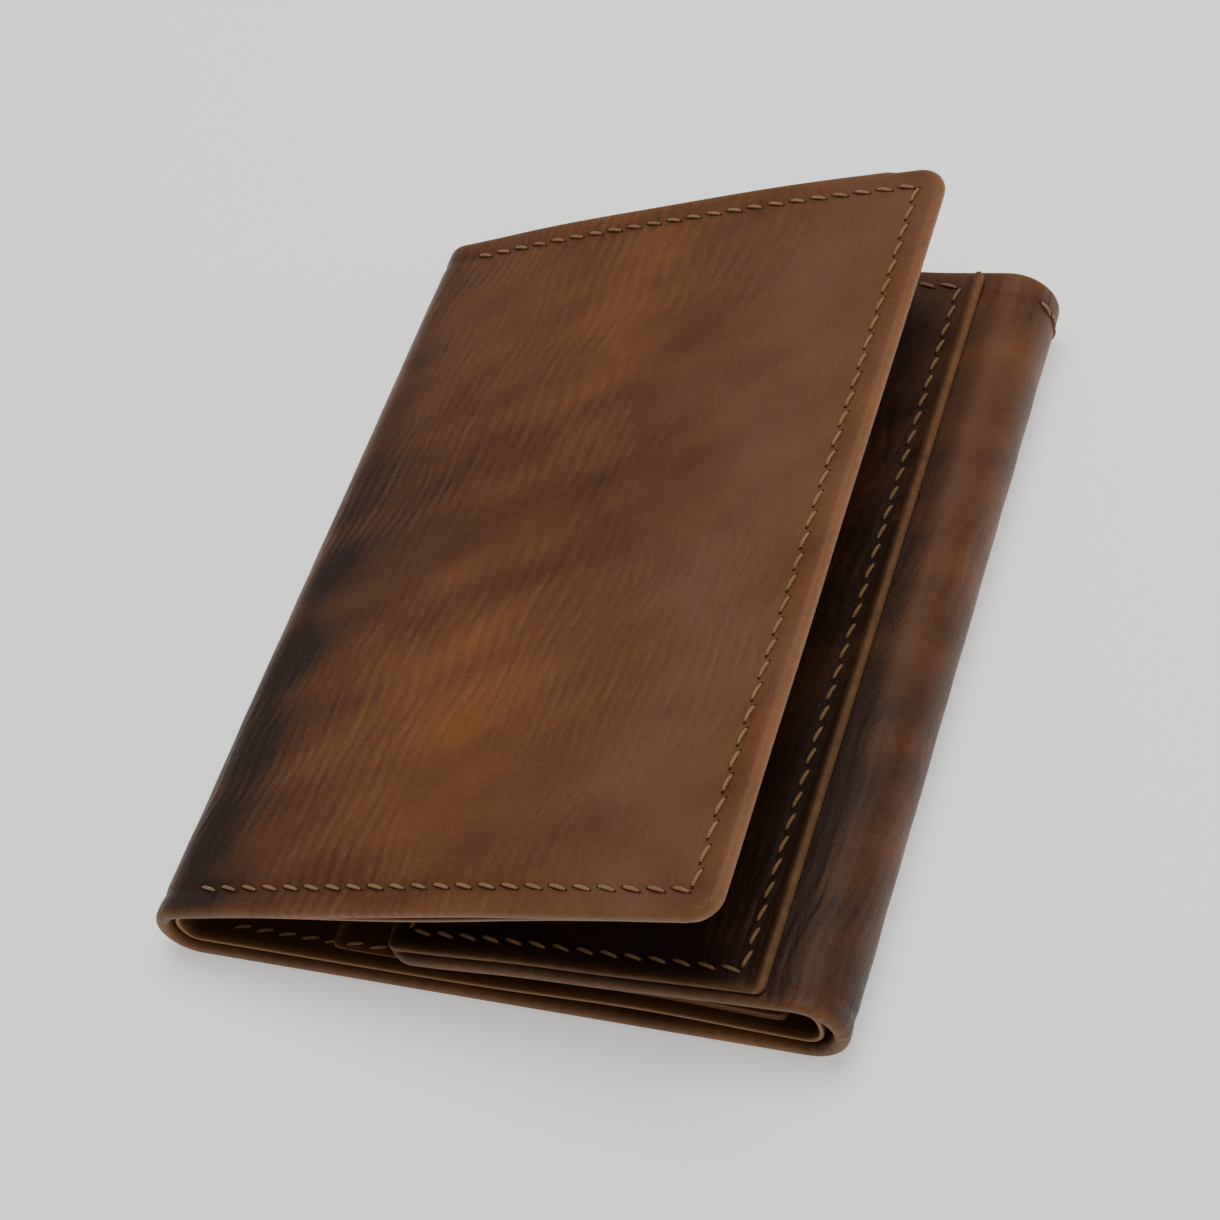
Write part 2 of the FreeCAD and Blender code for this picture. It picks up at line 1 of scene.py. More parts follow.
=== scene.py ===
"""Leather trifold wallet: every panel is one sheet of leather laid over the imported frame.

A point of the wallet is given by three numbers: the length run along the leather's outer face from
the front flap's free edge, the height along the fold, and the depth below the outer face.
"""

from dataclasses import dataclass
from math import ceil, cos, hypot, pi, radians, sin

import bpy
import numpy as np
from mathutils import Matrix, Vector


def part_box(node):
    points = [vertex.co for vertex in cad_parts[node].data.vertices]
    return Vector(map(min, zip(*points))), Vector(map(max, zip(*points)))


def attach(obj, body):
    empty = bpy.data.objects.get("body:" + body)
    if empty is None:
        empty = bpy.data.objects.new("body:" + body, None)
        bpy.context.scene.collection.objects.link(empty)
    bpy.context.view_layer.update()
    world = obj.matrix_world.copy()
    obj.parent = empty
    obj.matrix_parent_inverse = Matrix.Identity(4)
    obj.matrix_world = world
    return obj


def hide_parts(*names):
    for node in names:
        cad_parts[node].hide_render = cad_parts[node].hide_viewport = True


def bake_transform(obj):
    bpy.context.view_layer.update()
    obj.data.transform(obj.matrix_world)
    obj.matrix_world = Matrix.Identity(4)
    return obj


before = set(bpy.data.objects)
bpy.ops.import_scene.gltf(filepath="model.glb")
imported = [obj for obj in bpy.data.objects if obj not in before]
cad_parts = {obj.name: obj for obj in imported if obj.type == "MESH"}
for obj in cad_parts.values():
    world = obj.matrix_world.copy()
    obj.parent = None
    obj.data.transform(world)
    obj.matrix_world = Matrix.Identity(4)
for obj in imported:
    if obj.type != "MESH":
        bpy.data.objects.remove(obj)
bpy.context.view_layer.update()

bl_info = {
    "name": "Trifold wallet",
    "version": (1, 0, 0),
    "blender": (4, 5, 0),
    "location": "3D View > Sidebar > Wallet",
    "description": "Leather, linings, pockets and stitching of a trifold wallet",
    "category": "Object",
}

MM = 0.001
FOLD_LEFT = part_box("front_fold_shell")[0].x
FOLD_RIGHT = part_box("tuck_fold_shell")[1].x
FLAT_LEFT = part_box("back_lining")[0].x
FLAT_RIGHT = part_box("back_lining")[1].x
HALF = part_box("back_shell")[1].y
INNER_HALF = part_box("back_inner_panel")[1].y
POCKET_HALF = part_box("back_card_pocket_1")[1].y
LINING_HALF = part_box("back_lining")[1].y

# How much further round than its crease the front flap's sheet ends in the front fold.
FLAP_SPLIT = radians(24)
# Rows of stitches: the back panel's ends by their x, how far a flap's row stops short of its fold,
# and how far in the rows on the card pockets, the window and the outer pocket lie.
BACK_ROW_LEFT, BACK_ROW_RIGHT = -34.5 * MM, 33.6 * MM
ROW_SHORT_OF_FOLD = 3.0 * MM
POCKET_ROW = 0.9 * MM
POCKET_MOUTH_ROW = 1.6 * MM
WINDOW_ROW = 1.5 * MM
OUTER_POCKET_ROW_OUT = 0.4 * MM
FLOOR_LEVEL = -0.35 * MM

CAMERA_LENS = 85.84
CAMERA_PLACE = (0.12201, -0.19387, 0.27802)
CAMERA_WAY = (-0.34735, 0.54114, -0.76585)
CAMERA_RIGHT = (0.93138, 0.29404, -0.21466)


# ---------------------------------------------------------------- what a user may change
def length(name, description, default):
    return bpy.props.FloatProperty(
        name=name, description=description, default=default, unit="LENGTH", precision=5)


def colour(name, description, default):
    return bpy.props.FloatVectorProperty(
        name=name, description=description, default=default, subtype="COLOR", size=3,
        min=0.0, max=1.0)


class WalletSizes(bpy.types.PropertyGroup):
    front_flap_length: length("Front flap", "From the front fold to the free edge", 73 * MM)
    front_flap_angle: bpy.props.FloatProperty(
        name="Front flap ajar", description="Angle between the front flap and the back panel",
        default=radians(16), subtype="ANGLE")
    tuck_flap_length: length("Tuck flap", "From the tuck fold to the free edge", 49.4 * MM)
    tuck_flap_slope: bpy.props.FloatProperty(
        name="Tuck flap slope", description="Fall of the tuck flap towards its free edge",
        default=radians(4.53), subtype="ANGLE")
    shell: length("Outer leather", "Thickness of the outer leather", 1.0 * MM)
    hem: length("Turned margin", "Thickness added by the turned-in margin", 0.9 * MM)
    hem_width: length("Turned margin width", "Width of the turned-in margin", 8.0 * MM)
    lining: length("Lining", "Thickness of the woven lining", 0.15 * MM)
    inner_depth: length("Inner panel depth", "Outer face to the inner panel", 2.0 * MM)
    inner: length("Inner leather", "Thickness of the inner leather", 0.6 * MM)
    setback: length("Inner setback", "Inner panel back from the shell's edge", 0.8 * MM)
    pocket: length("Card pocket", "Thickness of one card pocket", 0.4 * MM)
    pocket_margin: length("Pocket margin", "Pockets back from the shell's edges", 2.4 * MM)
    pocket_width: length("Pocket width", "Width of the lowest card pocket", 55.5 * MM)
    pocket_step: length("Pocket step", "From one pocket mouth to the next", 10.0 * MM)
    outer_pocket: length("Outer pocket", "Thickness of the pocket on the tuck flap", 0.8 * MM)
    outer_pocket_setback: length("Outer pocket setback", "Tuck fold to its turned edge", 2.7 * MM)
    window_border: length("Window border", "Leather round the card window", 7.0 * MM)
    window_lap: length("Window lap", "Clear sheet under the border", 2.5 * MM)
    window_sheet: length("Window sheet", "Thickness of the clear sheet", 0.2 * MM)
    corner: length("Corners", "Radius of the free corners", 4.0 * MM)
    near_droop: length("Near droop", "Sag of the front flap's corner at the mouth", 1.4 * MM)
    far_droop: length("Far droop", "Sag of its other corner, which stands up if less than 0", -0.4 * MM)
    crown: length("Crown", "Rise of the front flap's far edge between its ends", 1.2 * MM)
    mouth_gape: length("Mouth gape", "How far the note compartment's mouth stands open", 1.0 * MM)
    grid: length("Grid", "Spacing of the leather's mesh", 0.62 * MM)


class WalletStitching(bpy.types.PropertyGroup):
    inset: length("Seam inset", "Seam back from an edge", 3.3 * MM)
    pitch: length("Pitch", "From one stitch to the next", 3.0 * MM)
    stitch: length("Stitch", "Length of one stitch", 2.35 * MM)
    thread: length("Thread", "Diameter of the thread", 0.46 * MM)
    hole: length("Needle hole", "Diameter of a needle hole", 0.38 * MM)
    groove: length("Groove", "Depth to which a seam draws the leather in", 0.16 * MM)
    slant: bpy.props.FloatProperty(
        name="Slant", description="Angle between a stitch and its seam",
        default=radians(14), subtype="ANGLE")


class WalletColours(bpy.types.PropertyGroup):
    # Also the colour of the painted shade on the tuck fold and the tuck flap, where the tone falls
    # below 0.
    dark: colour("Dark wax", "Where the wax lies thickest", (0.022, 0.0065, 0.0022))
    brown: colour("Brown", "Most of the outer leather", (0.125, 0.041, 0.0105))
    amber: colour("Amber", "Where the leather was pulled and lightened", (0.235, 0.09, 0.021))
    # Painted sheen: a greyer brown laid over the front flap's free half and the folds where the light
    # glances off; also the colour of the scratches.
    sheen_and_scratch: colour("Rubbed brown", "Where the leather was rubbed dull", (0.168, 0.076, 0.036))
    # A golden rim, partly edge wear and partly a painted highlight along the rims and raised edges.
    edge: colour("Worn edge", "Rim and raised edges", (0.34, 0.155, 0.052))
    inner: colour("Inner brown", "Inner leather", (0.085, 0.033, 0.014))
    inner_light: colour("Inner light", "Worn places of the inner leather", (0.16, 0.072, 0.032))
    lining: colour("Lining", "Woven lining", (0.02, 0.013, 0.009))
    lining_light: colour("Lining thread", "Raised yarns of the lining", (0.05, 0.033, 0.022))
    thread: colour("Thread", "Waxed thread", (0.46, 0.27, 0.125))
    # Painted shade in the hollows between the plies of the thread.
    thread_hollow_shade: colour("Thread hollow", "Between the plies of the thread", (0.22, 0.115, 0.048))
    # Painted shade of a needle hole.
    hole: colour("Needle hole", "Inside a needle hole", (0.03, 0.011, 0.004))
    window: colour("Window", "Clear sheet", (0.5, 0.5, 0.48))


def sizes():
    return bpy.context.scene.wallet_sizes


def stitching():
    return bpy.context.scene.wallet_stitching


def colours():
    return bpy.context.scene.wallet_colours


# ---------------------------------------------------------------- the wallet's own coordinates
class Course:
    """The way of the outer face through the closed wallet, by the length run along it."""

    def __init__(self):
        self.flap = sizes().front_flap_length
        self.angle = sizes().front_flap_angle
        self.slope = sizes().tuck_flap_slope
        self.front_radius = FLAT_LEFT - FOLD_LEFT
        self.tuck_radius = FOLD_RIGHT - FLAT_RIGHT
        self.front_turn = pi - self.angle
        self.tuck_turn = pi + self.slope
        self.front_start = self.flap
        self.back_start = self.front_start + self.front_radius * self.front_turn
        self.tuck_start = self.back_start + FLAT_RIGHT - FLAT_LEFT
        self.tuck_end = self.tuck_start + self.tuck_radius * self.tuck_turn
        self.end = self.tuck_end + sizes().tuck_flap_length

    def front(self, turn):
        """Length run to a place in the front fold, by its turn from the back panel."""
        return self.back_start - self.front_radius * turn

    def tuck(self, turn):
        """Length run to a place in the tuck fold, by its turn from the back panel."""
        return self.tuck_start + self.tuck_radius * turn

    def on_back(self, x):
        return self.back_start + x - FLAT_LEFT

    def on_flap(self, reach):
        """Length run to a place on the front flap, by its distance from the fold."""
        return self.flap - reach

    def on_tuck(self, reach):
        """Length run to a place on the tuck flap, by its distance from the fold."""
        return self.tuck_end + reach


def along_course(course, run):
    """Place and inward direction of the outer face: straight lines on the three panels, and
    circles through the folds, each taken where the run lies in it."""
    front = course.front_turn - (run - course.front_start) / course.front_radius
    tuck = (run - course.tuck_start) / course.tuck_radius
    reach = course.flap - run
    tail = run - course.tuck_end
    a, b = course.angle, course.slope
    rf, rt = course.front_radius, course.tuck_radius
    front_x = FLAT_LEFT - rf * sin(course.front_turn)
    front_z = rf - rf * cos(course.front_turn)
    tuck_x = FLAT_RIGHT + rt * sin(course.tuck_turn)
    tuck_z = rt - rt * cos(course.tuck_turn)
    part = [run < course.front_start, run < course.back_start,
            run < course.tuck_start, run < course.tuck_end]
    x = np.select(part, [
        front_x + reach * cos(a), FLAT_LEFT - rf * np.sin(front),
        FLAT_LEFT + run - course.back_start, FLAT_RIGHT + rt * np.sin(tuck),
    ], tuck_x - tail * cos(b))
    z = np.select(part, [
        front_z + reach * sin(a), rf - rf * np.cos(front), 0 * run, rt - rt * np.cos(tuck),
    ], tuck_z - tail * sin(b))
    nx = np.select(part, [0 * run + sin(a), np.sin(front), 0 * run, -np.sin(tuck)],
                   0 * run + sin(b))
    nz = np.select(part, [0 * run - cos(a), np.cos(front), 0 * run + 1, np.cos(tuck)],
                   0 * run - cos(b))
    return x, z, nx, nz


def smooth(x):
    """Rise from 0 to 1 with level ends: three squares less two cubes of the clipped share."""
    x = np.clip(x, 0, 1)
    return x * x * (3 - 2 * x)


def bell(x, middle, width):
    return np.exp(-((x - middle) / width) ** 2)


def waves(run, height, wavelength, seed, count=9):
    """Smooth unevenness, about 1 high: a sum of plane waves in random directions."""
    draw = np.random.default_rng(seed)
    turn = draw.uniform(0, 2 * pi, count)
    start = draw.uniform(0, 2 * pi, count)
    pitch = wavelength * draw.uniform(0.7, 1.5, count)
    total = 0 * run
    for k in range(count):
        across = run * cos(turn[k]) + height * sin(turn[k])
        total = total + np.sin(2 * pi * across / pitch[k] + start[k])
    return total * (2 / count) ** 0.5


def sag(course, run, height):
    """Depth added by the leather's own weight and wear. The front flap's free corners droop by
    a power of the distance from the fold, its far edge is crowned, and all is a little uneven."""
    reach = np.clip((course.flap - run) / course.flap, 0, 1)
    far = (height + HALF) / (2 * HALF)
    droop = (sizes().near_droop * (1 - far) + sizes().far_droop * far) * reach ** 1.7
    crown = sizes().crown * np.sin(pi * reach) * (0.25 + 0.75 * far ** 3)
    uneven = 0.09 * MM * waves(run, height, 38 * MM, 5) * smooth(reach * 6)
    tail = np.clip((run - course.tuck_end) / (course.end - course.tuck_end), 0, 1)
    uneven_tuck = 0.12 * MM * waves(run, height, 26 * MM, 8) * smooth(tail * 5)
    return droop - crown + uneven + uneven_tuck


def place(course, run, height, depth):
    """World place of a point: along the course, then inwards by its depth and the sag there."""
    x, z, nx, nz = along_course(course, run)
    inward = depth + sag(course, run, height)
    return np.stack([x + nx * inward, height + 0 * run, z + nz * inward], -1)


def gape(course, run, height):
    """Depth added to the inner layers where the note compartment's mouth stands open: one bell on
    the back panel and one on the front flap, both dying away from the mouth."""
    near = np.exp(-((height + HALF) / (15 * MM)) ** 2)
    on_back = bell(run, course.on_back(18 * MM), 14 * MM)
    on_flap = bell(run, course.on_flap(36 * MM), 17 * MM)
    return sizes().mouth_gape * near * (on_back + on_flap)


def fold_slack(course, run):
    """Depth added to the inner leather in a fold, where it stands off the shell: a sine squared
    over the fold's turn."""
    front = np.clip((run - course.front_start) / (course.back_start - course.front_start), 0, 1)
    tuck = np.clip((run - course.tuck_start) / (course.tuck_end - course.tuck_start), 0, 1)
    return 0.45 * MM * np.sin(pi * front) ** 2 + 1.0 * MM * np.sin(pi * tuck) ** 2


# ---------------------------------------------------------------- sheets of leather
@dataclass
class Panel:
    """A sheet between two runs and two heights, by its depth and thickness."""
    name: str
    start: float
    end: float
    half: float
    depth: float
    thickness: float
    free_start: bool = False
    free_end: bool = False
    corner: float = 0.0
    hem: float = 0.0
    inner_layer: bool = False
    seams: tuple = ()
    bead: str = ""
    hole: tuple = ()
    step: float = 0.0


def edge_distance(panel, run, height):
    """Distance in from the panel's free outline, with rounded corners. A cut end, which meets the
    next sheet, is no edge."""
    far = 1.0
    from_start = run - panel.start if panel.free_start else 0 * run + far
    from_end = panel.end - run if panel.free_end else 0 * run + far
    across = np.minimum(from_start, from_end)
    along = panel.half - np.abs(height)
    r = panel.corner
    inside = r - np.hypot(r - across, r - along)
    return np.where((across < r) & (along < r), inside, np.minimum(across, along))


def grid_lines(low, high, step, free_low, free_high, rounding):
    """Grid lines from edge to edge: even inside, and by the cosine of equal turns at a free edge."""
    turn = np.linspace(0, pi / 2, 6)
    free = rounding * (1 - np.cos(turn))
    cut = np.array([0.0, 0.05 * MM])
    first = low + (free if free_low else cut)
    last = high - (free if free_high else cut)[::-1]
    count = max(2, ceil((last[0] - first[-1]) / step))
    return np.concatenate([first[:-1], np.linspace(first[-1], last[0], count + 1), last[1:]])


def round_corners(panel, run, height):
    """Draw the grid's free corners in to quarter circles: each share of a corner is shortened by
    the root of one less half the square of the other."""
    r = panel.corner
    if not r:
        return run, height
    ends = (panel.free_start, panel.start, 1), (panel.free_end, panel.end, -1)
    for is_free, edge, side in ends:
        if not is_free:
            continue
        a = np.clip(1 - side * (run - edge) / r, 0, 1)
        b = np.clip(1 - (panel.half - np.abs(height)) / r, 0, 1)
        in_corner = (a > 0) & (b > 0)
        new_run = edge + side * r * (1 - a * np.sqrt(1 - b * b / 2))
        new_height = np.sign(height) * (panel.half - r * (1 - b * np.sqrt(1 - a * a / 2)))
        run, height = (np.where(in_corner, new_run, run), np.where(in_corner, new_height, height))
    return run, height


def hem_share(panel, run, height):
    """1 on the turned-in margin along the mouth and the free ends, falling to 0 over its cut."""
    near = height + panel.half
    if panel.free_start:
        near = np.minimum(near, run - panel.start)
    if panel.free_end:
        near = np.minimum(near, panel.end - run)
    return smooth((sizes().hem_width - near) / (0.7 * MM))


def seam_distance(panel, run, height):
    """Distance to the nearest seam. A seam runs at one distance in from the outline, or is a
    straight line at a run."""
    nearest = 0 * run + 1.0
    for kind, value in panel.seams:
        if kind == "outline":
            away = np.abs(edge_distance(panel, run, height) - value)
        else:
            away = np.where(np.abs(height) < panel.half - 2 * MM, np.abs(run - value), 1.0)
        nearest = np.minimum(nearest, away)
    return nearest


# Where the growth wrinkles are strong: distance from the front fold, height, half widths along and
# across the wallet (mm), and strength.
WRINKLED = ((20, -34, 17, 26, 0.75), (25, 30, 14, 26, 0.55), (52, -14, 12, 20, 0.45))


def growth_lines(course, run, height):
    """Phase and strength of the fine growth wrinkles, which run along the fold and drift with it.
    The phase counts wrinkles: the run over their pitch, plus slow unevenness."""
    pitch = 1.75 * MM
    drift = 1.0 * waves(run, height * 0.8, 60 * MM, 11) + 0.25 * waves(run, height, 16 * MM, 12)
    lean = 0.10 * height / pitch
    strength = 0.30 + 0.25 * waves(run, height, 30 * MM, 14)
    reach = (course.flap - run) / MM
    up = height / MM
    for where, high, wide, tall, more in WRINKLED:
        strength = strength + more * bell(reach, where, wide) * bell(up, high, tall)
    smoother = smooth((reach - 50) / 16) * (1 - bell(up, -14, 18))
    strength = strength - 0.45 * smoother
    return run / pitch + drift + lean, np.clip(strength, 0, 1)


# Where the outer leather was darkened (less than 0) or pulled light (more than 0) in use: distance
# from the front fold, height, half widths along and across the wallet (mm), and strength.
PATCHES = (
    (0, -34, 7, 34, -1.2), (-1, 16, 5, 40, -0.55), (10, 3, 10, 17, -0.42), (9, -52, 12, 8, -0.35),
    (31, -24, 13, 11, 0.62), (28, -44, 10, 10, 0.25), (33, 38, 7, 19, 0.42), (16, 40, 9, 12, 0.14),
    (41, 4, 6, 17, -0.24), (24, 8, 8, 10, -0.14), (44, 30, 6, 10, -0.1), (53, 8, 8, 12, -0.12),
    (60, -28, 9, 16, 0.12), (70, 0, 5, 60, 0.22), (26, -50, 5, 5, -0.22), (64, 44, 9, 8, 0.10),
)


def wax(course, run, height):
    """Tone from about -1, dark, to 1, light: the patches of pull-up wax, and painted shade on the tuck
    fold and the tuck flap; and the share of painted sheen.
    """
    reach = (course.flap - run) / MM
    up = height / MM
    tone = 0 * run
    for where, high, wide, tall, strength in PATCHES:
        tone = tone + strength * bell(reach, where, wide) * bell(up, high, tall)
    on_flap = smooth((reach + 6) / 8)
    other = 0.35 * waves(run, height, 24 * MM, 21)
    tuck = (run - course.tuck(0)) / (course.tuck_end - course.tuck_start)
    far = smooth((up + 40) / 80)
    beyond = smooth((tuck - 0.95) / 0.12)
    roll = smooth((tuck + 0.1) / 0.2)
    # Painted shade: the tuck fold and, beyond it, the tuck flap are darkened, most at the near side and
    # less towards the far side.
    other = other * (1 - 0.6 * roll) - 0.1 - (0.48 - 0.28 * far) * roll - (0.55 - 0.3 * far) * beyond
    tone = tone * on_flap + other * (1 - on_flap) + 0.10 * waves(run, height, 9 * MM, 23)
    # Painted sheen over the front flap's free half; an even share on the folds and back panel, less on
    # the tuck fold's near side and the tuck flap, so the tuck fold carries a painted highlight towards
    # the far side.
    painted_sheen = smooth((reach - 34) / 26) * (0.75 + 0.25 * waves(run, height, 20 * MM, 25))
    painted_sheen = painted_sheen + (1 - on_flap) * (0.3 - 0.25 * roll + 0.25 * far * roll * (1 - beyond))
    return np.clip(tone, -1.3, 1.2), np.clip(painted_sheen, 0, 1)


def make_mesh(name, points, faces, attributes, material_of=None):
    """A mesh object from whole arrays: points, four corners to a face, and named values a point."""
    mesh = bpy.data.meshes.new(name)
    mesh.vertices.add(len(points))
    mesh.vertices.foreach_set("co", np.ascontiguousarray(points, np.float32).ravel())
    mesh.loops.add(faces.size)
    mesh.loops.foreach_set("vertex_index", np.ascontiguousarray(faces, np.int32).ravel())
    mesh.polygons.add(len(faces))
    mesh.polygons.foreach_set("loop_start", np.arange(0, faces.size, faces.shape[1], dtype=np.int32))
    if material_of is not None:
        mesh.polygons.foreach_set("material_index", np.ascontiguousarray(material_of, np.int32))
    mesh.update(calc_edges=True)
    for key, values in attributes.items():
        kind = "FLOAT_VECTOR" if values.ndim == 2 else "FLOAT"
        field = "vector" if values.ndim == 2 else "value"
        layer = mesh.attributes.new(key, kind, "POINT")
        layer.data.foreach_set(field, np.ascontiguousarray(values, np.float32).ravel())
    mesh.shade_smooth()
    mesh.set_sharp_from_angle(angle=radians(48))
    if mesh.validate():
        raise RuntimeError(f"{name}: the mesh had faults")
    made = bpy.data.objects.new(name, mesh)
    bpy.context.scene.collection.objects.link(made)
    return made


def make_panel(panel):
    """A closed sheet of leather: an outer and an inner face over one grid, joined along every edge.
    At a free edge both faces turn to the middle of the thickness along a quarter ellipse."""
    course = Course()
    step = panel.step or sizes().grid
    rounding = (panel.thickness + panel.hem) / 2
    runs = grid_lines(panel.start, panel.end, step, panel.free_start, panel.free_end, rounding)
    heights = grid_lines(-panel.half, panel.half, step, True, True, rounding)
    if panel.hole:
        runs = np.unique(np.concatenate([runs, panel.hole[:2]]))
        heights = np.unique(np.concatenate([heights, panel.hole[2:]]))
    run, height = np.meshgrid(runs, heights, indexing="ij")
    run, height = round_corners(panel, run, height)
    thickness = panel.thickness + panel.hem * hem_share(panel, run, height)
    edge = edge_distance(panel, run, height)
    if panel.hole:
        low, high, bottom, top = panel.hole
        away = np.hypot(np.clip(np.maximum(low - run, run - high), 0, 1),
                        np.clip(np.maximum(bottom - height, height - top), 0, 1))
        edge = np.minimum(edge, away)
    share = np.clip(edge / (thickness / 2), 0, 1)
    turned = thickness / 2 * (1 - np.sqrt(1 - (1 - share) ** 2)) * 0.95
    seam = seam_distance(panel, run, height)
    groove = stitching().groove * np.exp(-(seam / (0.75 * MM)) ** 2)
    phase, strength = growth_lines(course, run, height)
    calm = smooth(edge / (2 * MM)) * (0.4 if panel.inner_layer else 1.0)
    ripple = 0.02 * MM * strength * calm * (1 + np.sin(2 * pi * phase))
    pillow = 0.022 * MM * (1 + waves(run, height, 7 * MM, 31)) * calm
    bead = 0 * run
    if panel.bead:
        raised = run - panel.start if panel.bead == "start" else panel.end - run
        bead = 0.42 * MM * bell(raised, 0.65 * MM, 0.55 * MM)
        bead = bead - 0.12 * MM * bell(raised, 1.7 * MM, 0.5 * MM)
    base = panel.depth + 0 * run
    if panel.inner_layer:
        base = base + fold_slack(course, run) + gape(course, run, height)
    outer = base + turned + groove + ripple + pillow - bead
    inner = base + thickness - turned - np.minimum(groove, 0.3 * thickness)
    if panel.inner_layer:
        outer = base + turned + np.minimum(groove, 0.3 * thickness)
        inner = base + thickness - turned - groove - ripple - pillow + bead
    rows, columns = run.shape
    index = np.arange(rows * columns).reshape(rows, columns)
    quads = np.stack([index[:-1, :-1], index[:-1, 1:], index[1:, 1:], index[1:, :-1]], -1)
    if panel.hole:
        middle_run = (run[:-1, :-1] + run[1:, 1:]) / 2
        middle_height = (height[:-1, :-1] + height[1:, 1:]) / 2
        kept = ~((middle_run > low) & (middle_run < high)
                 & (middle_height > bottom) & (middle_height < top))
        quads = quads[kept]
    quads = quads.reshape(-1, 4)
    count = rows * columns
    starts, ends = quads.ravel(), np.roll(quads, -1, 1).ravel()
    rim = ~np.isin(starts * count + ends, ends * count + starts)
    a, b = starts[rim], ends[rim]
    walls = np.stack([b, a, a + count, b + count], -1)
    faces = np.concatenate([quads, quads[:, ::-1] + count, walls])
    points = np.concatenate([
        place(course, run, height, outer).reshape(-1, 3),
        place(course, run, height, inner).reshape(-1, 3)])
    used, new_index = np.unique(faces, return_inverse=True)
    tone, painted_sheen = wax(course, run, height)
    twice = {
        "tone": tone, "painted_sheen": painted_sheen, "phase": phase, "strength": strength,
        # Nearness to a free edge or a raised bead, which lays the golden rim: partly edge wear, partly
        # painted highlight.
        "edge": np.exp(-(edge / (0.7 * MM)) ** 2) + 0.45 * bead / MM,
        "seam": np.exp(-(seam / (0.9 * MM)) ** 2),
    }
    attributes = {key: np.concatenate([v.ravel(), v.ravel()])[used] for key, v in twice.items()}
    flat = np.stack([np.concatenate([run.ravel(), run.ravel()]),
                     np.concatenate([height.ravel(), height.ravel()]),
                     np.concatenate([outer.ravel(), inner.ravel()])], -1)
    attributes["lay"] = flat[used]
    return make_mesh(panel.name, points[used], new_index.reshape(-1, 4), attributes)


# ---------------------------------------------------------------- stitches
def beads(course, centres, directions, depths, side, long, wide, tall, lift, phase_turns):
    """Little closed grains along a seam. Each is rings about its own axis: a ring's radius falls
    to the ends by the root of one less the fourth power of its place, and its middle rises by lift
    times one less the square."""
    rings, around = 7, 6
    place_along = np.sin(np.linspace(-1, 1, rings) * pi / 2)
    turn = np.arange(around) * 2 * pi / around + pi / around
    a, t = np.meshgrid(place_along, turn, indexing="ij")
    radius = np.sqrt(np.clip(1 - a ** 4, 0.012, 1))
    sideways = radius * np.cos(t) * wide / 2
    up = radius * np.sin(t) * tall / 2 + lift * (1 - a * a)
    across = np.stack([-directions[:, 1], directions[:, 0]], -1)
    run = (centres[:, None, None, 0] + directions[:, None, None, 0] * a * long / 2
           + across[:, None, None, 0] * sideways)
    height = (centres[:, None, None, 1] + directions[:, None, None, 1] * a * long / 2
              + across[:, None, None, 1] * sideways)
    depth = depths[:, None, None] - side * up
    points = place(course, run, height, depth).reshape(-1, 3)
    ring = np.arange(around)
    first = (np.arange(rings - 1)[:, None] * around + ring).reshape(-1)
    second = (np.arange(rings - 1)[:, None] * around + np.roll(ring, -1)).reshape(-1)
    tube = np.stack([first, second, second + around, first + around], -1)
    caps = np.array([[3, 2, 1, 0], [5, 4, 3, 0]])
    last = (rings - 1) * around
    caps = np.concatenate([caps, caps[:, ::-1] + last])
    faces = np.concatenate([tube, caps])
    size = rings * around
    faces = (np.arange(len(centres))[:, None, None] * size + faces).reshape(-1, 4)
    corner = points[faces]
    volume = np.einsum("ij,ij->i", corner[:, 0], np.cross(corner[:, 1], corner[:, 2])).sum()
    volume += np.einsum("ij,ij->i", corner[:, 0], np.cross(corner[:, 2], corner[:, 3])).sum()
    if volume < 0:
        faces = faces[:, ::-1]
    twist = np.broadcast_to(a * phase_turns + t / (2 * pi), run.shape).reshape(-1)
    return points, faces, twist


def seam_row(start, end):
    """Middles and directions of the stitches between two places, at an even pitch."""
    start, end = np.array(start), np.array(end)
    full = hypot(*(end - start))
    count = max(1, round(full / stitching().pitch))
    share = (np.arange(count) + 0.5) / count
    return start + share[:, None] * (end - start), np.tile((end - start) / full, (count, 1))


def make_stitching(name, rows):
    """One object for all stitches of a seam group. A row is start, end, depth of the leather's
    face there as a function of run and height, and the side it shows on (1 outer, -1 inner)."""
    course = Course()
    kit = stitching()
    lean = Matrix.Rotation(kit.slant, 2)
    points, faces, twists, materials = [], [], [], []
    total = 0
    for start, end, face_depth, side in rows:
        centres, directions = seam_row(start, end)
        slanted = directions @ np.array(lean).T
        depths = face_depth(centres[:, 0], centres[:, 1])
        sunk = depths + side * 0.55 * kit.groove
        parts = [(centres, slanted, sunk, kit.stitch, kit.thread, kit.thread, 0.16 * MM, 2.2, 0)]
        # Needle holes: small dark beads at both ends of each stitch, painted shade where the holes are.
        for end_side in (-1, 1):
            holes = centres + end_side * slanted * kit.stitch * 0.5
            parts.append((holes, slanted, sunk, kit.hole, kit.hole, 0.16 * MM, 0.0, 0, 1))
        for middle, way, deep, *shape, material in parts:
            made, corners, twist = beads(course, middle, way, deep, side, *shape)
            points.append(made)
            faces.append(corners + total)
            twists.append(twist)
            materials.append(np.full(len(corners), material))
            total += len(made)
    return make_mesh(name, np.concatenate(points), np.concatenate(faces),
                     {"twist": np.concatenate(twists)}, np.concatenate(materials))


